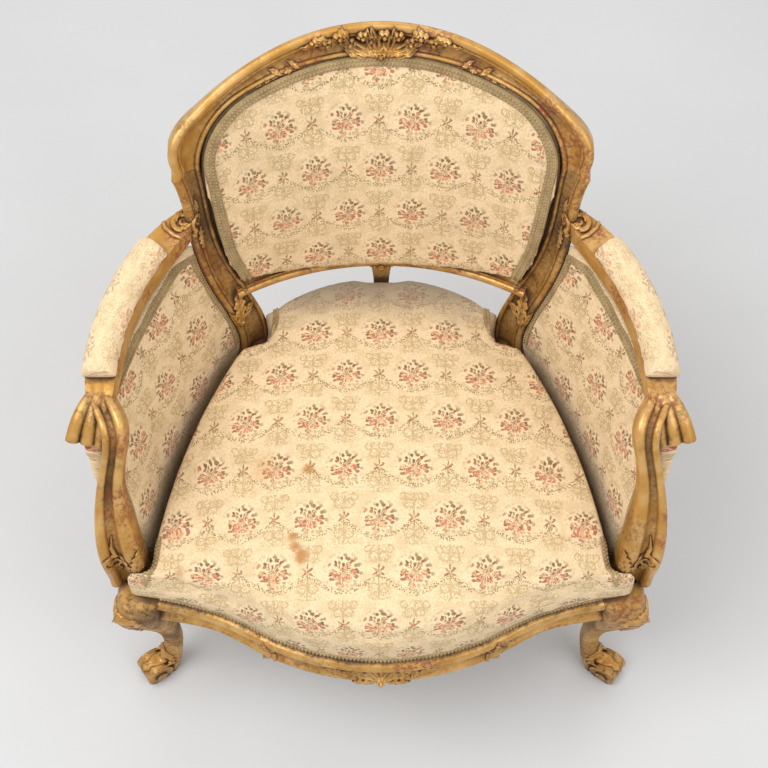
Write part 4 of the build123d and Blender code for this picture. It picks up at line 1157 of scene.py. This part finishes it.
seat = padBlank("seatCushion", "seat_stuffing", seatPad, seatMoved)
back = padBlank("backCushion", "back_stuffing", backPad, backMoved)
sides = [padBlank("sideCushion" + s, "side_stuffing_" + s.lower(), sidePad, sideMoved) for s in sideNames]
armPads = [padBlank("armPad" + s, "arm_pad_stuffing_" + s.lower(), armPad) for s in sideNames]
jobs = [(seat, seatPin, seatPad), (back, backPin, backPad)]
jobs += [(side, sidePin, sidePad) for side in sides] + [(pad, armPin, armPad) for pad in armPads]
swell(jobs)
print("pads shaped")


def seatUv(p, normal):
    # flat on top, folded down over the edges
    x, y, z = drawn(p)
    dome = seatPad["dome"]
    fall = max(0.0, seatPad["crown"] - dome + sqrt(dome ** 2 - x ** 2 - (y - seatPad["middleY"]) ** 2) - z)
    flat = Vector((normal.x, normal.y))
    if flat.length > 0.05:
        flat = flat.normalized()
        x, y = x + flat.x * fall, y + flat.y * fall
    return (x * mm, (y + seatPad["patternY"]) * mm)


def backUv(p, normal):
    arc, level, _ = backPlace(p)
    return (arc * mm, (level + backPad["patternLevel"]) * mm)


def alongChord(p, rear, front):
    # place along and across a line on the right side, with the line's direction
    chord = Vector((front[0] - rear[0], front[1] - rear[1])).normalized()
    x, y, _ = drawn(p)
    x, y = abs(x) - rear[0], y - rear[1]
    return x * chord.x + y * chord.y, x * chord.y - y * chord.x, chord


def sideUv(p, normal):
    along, _, _ = alongChord(p, sidePad["rearFoot"], sidePad["frontFoot"])
    return (along * mm, p.z)


def armUv(p, normal):
    # rolled out flat round the pad
    along, across, chord = alongChord(p, armPad["rearEnd"], armPad["frontEnd"])
    lean = (normal.x if p.x > 0 else -normal.x) * chord.y - normal.y * chord.x
    return (along * mm, (armPad["girth"] * atan2(lean, normal.z) + armPad["spread"] * across) * mm)


def layUv(piece, uvAt):
    mesh = piece.data
    mesh.update()
    layer = mesh.uv_layers.new(name="clothUv")
    places = [uvAt(v.co, v.normal) for v in mesh.vertices]
    for loop in mesh.loops:
        layer.data[loop.index].uv = places[loop.vertex_index]


def settle(piece, material, slotName, *nodes):
    piece.data.materials.clear()
    piece.data.materials.append(material)
    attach(piece, "root")
    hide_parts(*nodes)


def dress(pad, uvAt, material, look, *nodes):
    layUv(pad, uvAt)
    smoothFaces(pad.data)
    settle(pad, material, "floral_cover", *nodes)


dress(seat, seatUv, seatCloth, seatPad, "seat_stuffing", "seat_cover")
dress(back, backUv, coverCloth, backPad, "back_stuffing", "back_cover")
for side, s in zip(sides, ("right", "left")):
    dress(side, sideUv, coverCloth, sidePad, "side_stuffing_" + s, "side_cover_" + s, "outer_side_cover_" + s)
for pad, s in zip(armPads, ("right", "left")):
    dress(pad, armUv, padCloth, armPad, "arm_pad_stuffing_" + s, "arm_pad_cover_" + s)
print("pads dressed")


# braid: a woven strip with two beaded rows, laid along the edges of the pads

braidLook = {"wide": 11.0, "lift": 1.7, "sink": 2.6, "step": 5.0, "bead": 2.3, "gap": 5.0,
             "rows": (0.25, 0.75)}


def makeBeadTree():
    tree, ports, given, made = newGeometryTree(
        "beadedRows", {"Bead Radius": "Float", "Spacing": "Float", "Thread": "Material"})
    line = tree.nodes.new("GeometryNodeMeshToCurve")
    spaced = tree.nodes.new("GeometryNodeResampleCurve")
    spaced.mode = "LENGTH"
    bead = tree.nodes.new("GeometryNodeMeshIcoSphere")
    bead.inputs["Subdivisions"].default_value = 1
    placed = tree.nodes.new("GeometryNodeInstanceOnPoints")
    real = tree.nodes.new("GeometryNodeRealizeInstances")
    soft = tree.nodes.new("GeometryNodeSetShadeSmooth")
    cloth = tree.nodes.new("GeometryNodeSetMaterial")
    joinUp(
        tree,
        (given.outputs["Geometry"], line.inputs["Mesh"]), (line.outputs[0], spaced.inputs["Curve"]),
        (given.outputs["Spacing"], spaced.inputs["Length"]), (spaced.outputs[0], placed.inputs["Points"]),
        (given.outputs["Bead Radius"], bead.inputs["Radius"]), (bead.outputs[0], placed.inputs["Instance"]),
        (placed.outputs[0], real.inputs[0]), (real.outputs[0], soft.inputs["Geometry"]),
        (soft.outputs[0], cloth.inputs["Geometry"]), (given.outputs["Thread"], cloth.inputs["Material"]),
        (cloth.outputs[0], made.inputs[0]),
    )
    return tree, ports


beadTree, beadPorts = makeBeadTree()


def addStrip(work, stations, closed, lift, sink, slotIndex=0):
    # closed band through stations of left edge, right edge and normal
    rings = []
    for left, right, normal in stations:
        up, down = normal * lift * mm, normal * sink * mm
        rings.append([work.verts.new(c) for c in (left + up, right + up, right - down, left - down)])
    count, made = len(rings), []
    for i in range(count if closed else count - 1):
        a, b = rings[i], rings[(i + 1) % count]
        made += [work.faces.new((a[k], a[(k + 1) % 4], b[(k + 1) % 4], b[k])) for k in range(4)]
    if not closed:
        made += [work.faces.new(rings[0][::-1]), work.faces.new(rings[-1])]
    for face in made:
        face.material_index = slotIndex
    bmesh.ops.recalc_face_normals(work, faces=made)


def braid(name, runs, node, closed=False):
    verts, edges = [], []
    for stations in runs:
        count = len(stations)
        for share in braidLook["rows"]:
            start = len(verts)
            verts += [a.lerp(b, share) + normal * braidLook["lift"] * mm for a, b, normal in stations]
            edges += [(start + i, start + (i + 1) % count) for i in range(count if closed else count - 1)]
    rows = bpy.data.meshes.new(name)
    rows.from_pydata(verts, edges, [])
    piece = bpy.data.objects.new(name, rows)
    scene.collection.objects.link(piece)
    useTree(piece, beadTree, beadPorts, {
        "Bead Radius": braidLook["bead"] * mm, "Spacing": braidLook["gap"] * mm, "Thread": braidThread})
    mesh = evaluatedMesh(piece)
    work = bmesh.new()
    work.from_mesh(mesh)
    for stations in runs:
        addStrip(work, stations, closed, braidLook["lift"], braidLook["sink"], 1)
    work.to_mesh(mesh)
    work.free()
    slots = [polygon.material_index for polygon in mesh.polygons]
    settle(piece, braidThread, "gimp", node)
    # the strip under the beads takes the darker thread, painted shade between the beads
    mesh.materials.append(braidShadeGround)
    mesh.polygons.foreach_set("material_index", slots)


def evenly(points, closed=False):
    # the line through these points, in steps of even length
    points = np.array(points, float)
    if closed:
        points = np.vstack([points, points[:1]])
    run = np.concatenate([[0], np.cumsum(np.linalg.norm(np.diff(points, axis=0), axis=1))])
    at = np.linspace(0, run[-1], int(run[-1] / braidLook["step"]) + 2, endpoint=not closed)
    return np.column_stack([np.interp(at, run, points[:, k]) for k in range(2)])


def rounded(points, rounds):
    for _ in range(rounds):
        near = (np.roll(points, 1, 0) + np.roll(points, -1, 0) + 2 * points) / 4
        near[0], near[-1] = points[0], points[-1]
        points = near
    return points


def inward(points, middle, closed=False):
    # directions square to the line, on the side of the middle
    ahead = np.roll(points, -1, 0) - np.roll(points, 1, 0) if closed else np.gradient(points, axis=0)
    normal = np.column_stack([-ahead[:, 1], ahead[:, 0]])
    normal /= np.linalg.norm(normal, axis=1)[:, None]
    return normal if ((np.array(middle) - points) * normal).sum() > 0 else -normal


def padTree(pad):
    mesh = pad.data
    return BVHTree.FromPolygons([v.co for v in mesh.vertices], [list(p.vertices) for p in mesh.polygons])


openingForm = {"rise": 341.0, "radius": 480.0, "shoulder": 90.0, "half": 230.0, "middle": (0.0, 180.0),
               "stile": [(225.5, 170.0), (215.0, 85.0), (204.0, 48.0), (195.5, 22.0)]}


def openingLine(grow=1.0):
    # edge of the back's opening from one lower corner to the other, as x and level
    radius, shoulder = openingForm["radius"], openingForm["shoulder"]
    side, low = openingForm["half"] - shoulder, openingForm["rise"] - radius
    level = low + sqrt((radius - shoulder) ** 2 - side ** 2)
    turn = atan2(side, level - low)
    half = [(radius * sin(a), low + radius * cos(a)) for a in np.linspace(0, turn, 30)]
    half += [(side + shoulder * sin(a), level + shoulder * cos(a)) for a in np.linspace(turn, pi / 2, 16)[1:]]
    half = [(x * grow, y) for x, y in half + openingForm["stile"]]
    return [(-x, y) for x, y in half[::-1]] + half[1:]


# millimetres behind the frame's face, and a search inwards and outwards for the opening's wall
backBraid = {"deepest": -11.0, "shallowest": -3.0, "depthAt": 5.0, "search": (20.0, 16.0), "wallDepth": 2.0,
             "wallGap": 0.4, "rounds": 2, "smoothing": 3}
backTree = padTree(back)
woodTree = nodeTree(["crest_rail", "rear_leg_right", "rear_leg_left", "lower_back_rail"])


def onBack(x, level):
    facing = backFacing(x)
    hit = backTree.ray_cast(backSpot(x, level) + facing * 0.08, -facing, 0.085)
    return hit[0] if hit[0] else backSpot(x, level, backBraid["shallowest"])


def wallEdge(place, turned):
    # where the frame's wall stands beside this place, just inside it
    inside, outside = backBraid["search"]
    start = backSpot(*(place + turned * inside), backBraid["wallDepth"])
    aim = backSpot(*(place - turned * outside), backBraid["wallDepth"]) - start
    hit = woodTree.ray_cast(start, aim.normalized(), aim.length)[0]
    edge = backSpot(*place) if hit is None else hit - aim.normalized() * backBraid["wallGap"] * mm
    arc, level, _ = backPlace(edge)
    return arc, level


backPath = rounded(evenly(openingLine()), backBraid["rounds"])
backStations = []
for place, turned in zip(backPath, inward(backPath, openingForm["middle"])):
    inner = place + turned * braidLook["wide"]
    depth = backPlace(onBack(*(place + turned * backBraid["depthAt"])))[2]
    depth = max(backBraid["deepest"], min(backBraid["shallowest"], depth))
    backStations.append((backArc(*wallEdge(place, turned), depth), onBack(*inner), backFacing(inner[0])))
for _ in range(backBraid["smoothing"]):
    backStations = [backStations[0]] + [
        ((a[0] + 2 * b[0] + c[0]) / 4, (a[1] + 2 * b[1] + c[1]) / 4, b[2])
        for a, b, c in zip(backStations, backStations[1:], backStations[2:])] + [backStations[-1]]
braid("backBraid", [backStations], "back_gimp")

# y and height on the side panels: up the stile, along the arm, down the post
sideBraid = {
    "stile": np.linspace(372.0, 562.0, 12), "inset": 0.8, "rounds": 3, "middle": (-50.0, 450.0),
    "armAndPost": [(96.5, 569.5), (32.9, 564.0), (-36.3, 558.0), (-100.7, 552.0), (-148.0, 536.5),
                   (-184.1, 462.7), (-216.9, 387.9), (-216.7, 360.0)],
    "bendX": -576.9, "bendY": -356.6,  # axis that the panels are bent round
}
sideLine = []
for z in sideBraid["stile"]:
    reach = max(v.co.y for v in sides[0].data.vertices if abs(v.co.z / mm - z) < 7.0)
    sideLine.append(((reach - yShift) / mm - 1.0, z))
sidePath = rounded(evenly(sideLine + sideBraid["armAndPost"]), sideBraid["rounds"])
sideTurned = inward(sidePath, sideBraid["middle"])
for side, sign, label in zip(sides, (1, -1), sideNames):
    sideTree = padTree(side)
    stations = []
    for place, turned in zip(sidePath, sideTurned):
        edges = []
        for inset in (sideBraid["inset"], braidLook["wide"]):
            start = spot(sign * 80.0, *(place + turned * inset))
            hit = sideTree.ray_cast(start, Vector((sign, 0.0, 0.0)), 0.4)[0]
            guess = spot(sign * 220.0, *(place + turned * inset))
            edges.append(sideTree.find_nearest(guess)[0] if hit is None else hit)
        outX, outY = abs(edges[0].x) / mm - sideBraid["bendX"], place[0] - sideBraid["bendY"]
        stations.append((*edges, Vector((-sign * outX, -outY, 0.0)).normalized()))
    braid("sideBraid" + label, [stations], "side_gimp_" + label.lower())

# right halves as x and y: along the front rail, and round the stile and the post with a point inside each
seatBraid = {
    "front": [(0.0, -361.0), (90.0, -348.0), (173.1, -316.2), (234.7, -289.1), (297.0, -274.3)],
    "frontZ": 308.0, "frontRounds": 40, "wide": 8.5, "rounds": 6, "lowest": 345.0,
    "stile": [(203, 80), (178, 80), (161, 92), (155, 112), (156, 135)], "inStile": (195, 120),
    "post": [(344, -262), (318, -264), (304, -255), (301, -238), (300, -212)], "inPost": (330, -235),
}
seatTree = padTree(seat)
frontLine = [(-x, y) for x, y in seatBraid["front"][:0:-1]] + seatBraid["front"]
frontPath = rounded(evenly(frontLine), seatBraid["frontRounds"])
frontStations = []
for place, turned in zip(frontPath, inward(frontPath, (0.0, 0.0))):
    aim = Vector((*turned, 0.0))
    edges = []
    for z in (seatBraid["frontZ"], seatBraid["frontZ"] + braidLook["wide"] - 1):
        hit = seatTree.ray_cast(spot(*place, z) - aim * 0.02, aim, 0.06)[0]
        edges.append(spot(*place, z) + aim * 0.0015 if hit is None else hit)
    frontStations.append((*edges, -aim))


def edgeRun(line, middle):
    # braid lying on the seat round a post, middle being inside the post
    path = rounded(evenly(line), seatBraid["rounds"])
    stations = []
    for place, turned in zip(path, inward(path, middle)):
        hits = [seatTree.ray_cast(spot(*(place - turned * reach), 520.0), -worldUp, 0.3)
                for reach in (0.0, seatBraid["wide"])]
        if all(h[0] is not None and h[0].z > seatBraid["lowest"] * mm for h in hits):
            stations.append((hits[0][0], hits[1][0], hits[1][1]))
    return stations


seatRuns = [frontStations]
for sign in (-1, 1):
    for line, middle in (("stile", "inStile"), ("post", "inPost")):
        inX, inY = seatBraid[middle]
        stations = edgeRun([(sign * x, y) for x, y in seatBraid[line]], (sign * inX, inY))
        if len(stations) > 4:
            seatRuns.append(stations)
braid("seatBraid", seatRuns, "seat_gimp")

# the outside back, where the opening is wider
outerBack = {"braidDepth": 23.6, "braidInset": 0.8, "inset": 0.6, "depth": 22.6, "bulge": 2.0, "thick": 1.2,
             "middle": (0.0, 175.0), "rings": 24, "flat": (0.50, 0.36), "area": 0.150}
rearGrow = 1 + outerBack["braidDepth"] / backForm["radius"]
rearScale = backForm["radius"] / (backForm["radius"] + outerBack["braidDepth"])
rearLoop = evenly(openingLine(rearGrow), True)
rearTurned = inward(rearLoop, openingForm["middle"], True)


def rearSpot(place, depth):
    # place is measured at the rear face
    return backSpot(place[0] * rearScale, place[1], depth)


rearStations = []
for place, turned in zip(rearLoop, rearTurned):
    edges = [rearSpot(place + turned * inset, outerBack["braidDepth"])
             for inset in (outerBack["braidInset"], braidLook["wide"])]
    rearStations.append((*edges, -backFacing(place[0] * rearScale)))
braid("outerBackBraid", [rearStations], "outer_back_gimp", closed=True)
print("braid laid")


# thin sheets: outside back cover and the hessian under the seat


def discSheet(name, rim, middle, placeAt, thickness, rings):
    # closed thin sheet filled from its middle to its rim
    work = bmesh.new()
    layers = []
    for layer in (0.0, thickness):
        point, normal = placeAt(middle, 0.0)
        rows = [[work.verts.new(point - normal * layer * mm)]]
        for ring in range(1, rings + 1):
            share = ring / rings
            row = []
            for place in rim:
                point, normal = placeAt(middle + (place - middle) * share, share)
                row.append(work.verts.new(point - normal * layer * mm))
            rows.append(row)
        layers.append(rows)
    count = len(rim)
    for rows in layers:
        for i in range(count):
            j = (i + 1) % count
            work.faces.new((rows[0][0], rows[1][i], rows[1][j]))
            for a, b in zip(rows[1:], rows[2:]):
                work.faces.new((a[i], b[i], b[j], a[j]))
    for i in range(count):
        j = (i + 1) % count
        work.faces.new((layers[0][-1][i], layers[0][-1][j], layers[1][-1][j], layers[1][-1][i]))
    bmesh.ops.recalc_face_normals(work, faces=work.faces)
    mesh = bpy.data.meshes.new(name)
    work.to_mesh(mesh)
    work.free()
    return finishPiece(name, mesh, coverCloth)


def outerBackAt(place, share):
    depth = outerBack["depth"] + outerBack["bulge"] * (1 - share ** 2)
    return rearSpot(place, depth), -backFacing(place[0] * rearScale)


rearRim = rearLoop + rearTurned * outerBack["inset"]
outerCover = discSheet("outerBackCover", rearRim, np.array(outerBack["middle"]), outerBackAt,
                       outerBack["thick"], outerBack["rings"])
layUv(outerCover, backUv)
settle(outerCover, coverCloth, "floral_cover", "outer_back_cover")

springCloth = {"sag": 0.6, "thick": 1.0, "middle": (0.0, -85.0), "points": 160, "rings": 16, "narrow": 0.998,
               "flat": (0.70, 0.56)}
clothLow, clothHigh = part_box("spring_hessian")
clothZ = (clothLow.z + clothHigh.z) / 2
clothNode = nodeTree(["spring_hessian"])
clothRim = []
for angle in np.linspace(0, 2 * pi, springCloth["points"], endpoint=False):
    aim = Vector((cos(angle), sin(angle), 0.0))
    start = Vector((*(spot(*springCloth["middle"], 0.0).xy), clothZ)) + aim * 0.7
    hit = clothNode.ray_cast(start, -aim, 0.7)[0]
    if hit:
        clothRim.append(drawn(hit)[:2])
clothRim = np.array(clothRim) * [springCloth["narrow"], 1.0]


def springClothAt(place, share):
    z = clothZ / mm + springCloth["thick"] / 2 - springCloth["sag"] * (1 - share ** 2)
    return spot(place[0], place[1], z), worldUp


springSheet = discSheet("springHessian", clothRim, np.array(springCloth["middle"]), springClothAt,
                        springCloth["thick"], springCloth["rings"])
settle(springSheet, juteHessian, "hessian", "spring_hessian")

# webbing: eight straps laced over and under one another

webbing = {"each": 4, "wide": 50.0, "pitch": 92.0, "middleY": -85.0, "z": 244.0, "wave": 1.1, "half": 0.95,
           "layer": 0.95, "layerZ": (243.0, 245.0), "loose": (25.0, 60.0), "stations": 70}
strapTree = nodeTree(["seat_webbing"])
rightward, rearward = Vector((1.0, 0.0, 0.0)), Vector((0.0, 1.0, 0.0))


def strapEnd(start, aim):
    # outermost hit over both layers of straps
    best = 0.0
    for z in webbing["layerZ"]:
        middle = spot(*start, z)
        hit = strapTree.ray_cast(middle + aim * 0.6, -aim, 0.6)[0]
        if hit:
            best = max(best, (hit - middle).dot(aim) / mm)
    return best


def strapStations(start, aim, across, ends, way, layer):
    # way is the side on which the lacing starts, layer the side on which the ends lie
    stations = []
    edge = across * webbing["wide"] / 2 * mm
    for reach in np.linspace(*ends, webbing["stations"]):
        lace = way * cos(pi * (reach / webbing["pitch"] + 1.5))
        loose = ease(min(reach - ends[0], ends[1] - reach), *webbing["loose"])
        z = webbing["z"] + webbing["wave"] * lace * loose + (1 - loose) * layer * webbing["layer"]
        middle = spot(start[0] + reach * aim.x, start[1] + reach * aim.y, z)
        stations.append((middle - edge, middle + edge, worldUp))
    return stations


def makeWebbing():
    work = bmesh.new()
    for index in range(webbing["each"]):
        offset = (index - (webbing["each"] - 1) / 2) * webbing["pitch"]
        for start, aim, across, layer in (
            ((0.0, webbing["middleY"] + offset), rightward, rearward, 1),
            ((offset, webbing["middleY"]), rearward, rightward, -1),
        ):
            ends = -strapEnd(start, -aim), strapEnd(start, aim)
            stations = strapStations(start, aim, across, ends, (-1) ** index * layer, layer)
            addStrip(work, stations, False, webbing["half"], webbing["half"])
    mesh = bpy.data.meshes.new("seatWebbing")
    work.to_mesh(mesh)
    work.free()
    piece = bpy.data.objects.new("seatWebbing", mesh)
    scene.collection.objects.link(piece)
    settle(piece, juteWebbing, "webbing", "seat_webbing")


makeWebbing()
print("sheets and webbing made")


# stage, light and camera

stageLook = {
    "floor": rgb(0.58, 0.58, 0.582), "floorMark": rgb(0.605, 0.605, 0.607), "floorReach": 12.0, "world": 0.70,
    # place, target, size and power
    "keySoftbox": ((-1.4, -0.6, 3.1), (0, 0, 0.4), 1.8, 62.0),
    "fillSoftbox": ((1.7, -1.3, 2.6), (0, 0, 0.4), 2.2, 30.0),
    "rearSoftbox": ((0.3, 2.4, 2.8), (0, 0, 0.5), 2.0, 16.0),
}
photoView = {"target": (4.0, 0.0, 420.0), "place": (4.0, -935.6, 2073.7), "lens": 64.42, "sensor": 36.0}


def makeFloor():
    mesh = bpy.data.meshes.new("floor")
    r = stageLook["floorReach"]
    mesh.from_pydata([(-r, -r, 0), (r, -r, 0), (r, r, 0), (-r, r, 0)], [], [(0, 1, 2, 3)])
    material, tree, shader = newMaterial("paleFloor")
    shade = ramp(tree, noise(tree, objectSpace(tree), 3.0, 2.0), 0.2, 0.8)
    color = tint(tree, shade, stageLook["floor"], stageLook["floorMark"])
    tree.links.new(color, shader.inputs["Base Color"])
    shader.inputs["Roughness"].default_value = 0.9
    finishPiece("floor", mesh, material)


def aimed(name, data, place, target):
    thing = bpy.data.objects.new(name, data)
    thing.location = place
    thing.rotation_mode = "QUATERNION"
    thing.rotation_quaternion = (target - place).to_track_quat("-Z", "Y")
    scene.collection.objects.link(thing)
    return thing


def addLight(name):
    place, target, size, power = stageLook[name]
    data = bpy.data.lights.new(name, "AREA")
    data.size = size
    data.energy = power
    aimed(name, data, Vector(place), Vector(target))


makeFloor()
world = bpy.data.worlds.new("softRoom")
world.use_nodes = True
world.node_tree.nodes["Background"].inputs["Color"].default_value = rgb(1.0, 1.0, 1.0)
world.node_tree.nodes["Background"].inputs["Strength"].default_value = stageLook["world"]
scene.world = world
for lightName in ("keySoftbox", "fillSoftbox", "rearSoftbox"):
    addLight(lightName)
cameraData = bpy.data.cameras.new("photoCamera")
cameraData.sensor_width = photoView["sensor"]
cameraData.lens = photoView["lens"]
scene.camera = aimed("photoCamera", cameraData, spot(*photoView["place"]), spot(*photoView["target"]))
print("stage set")
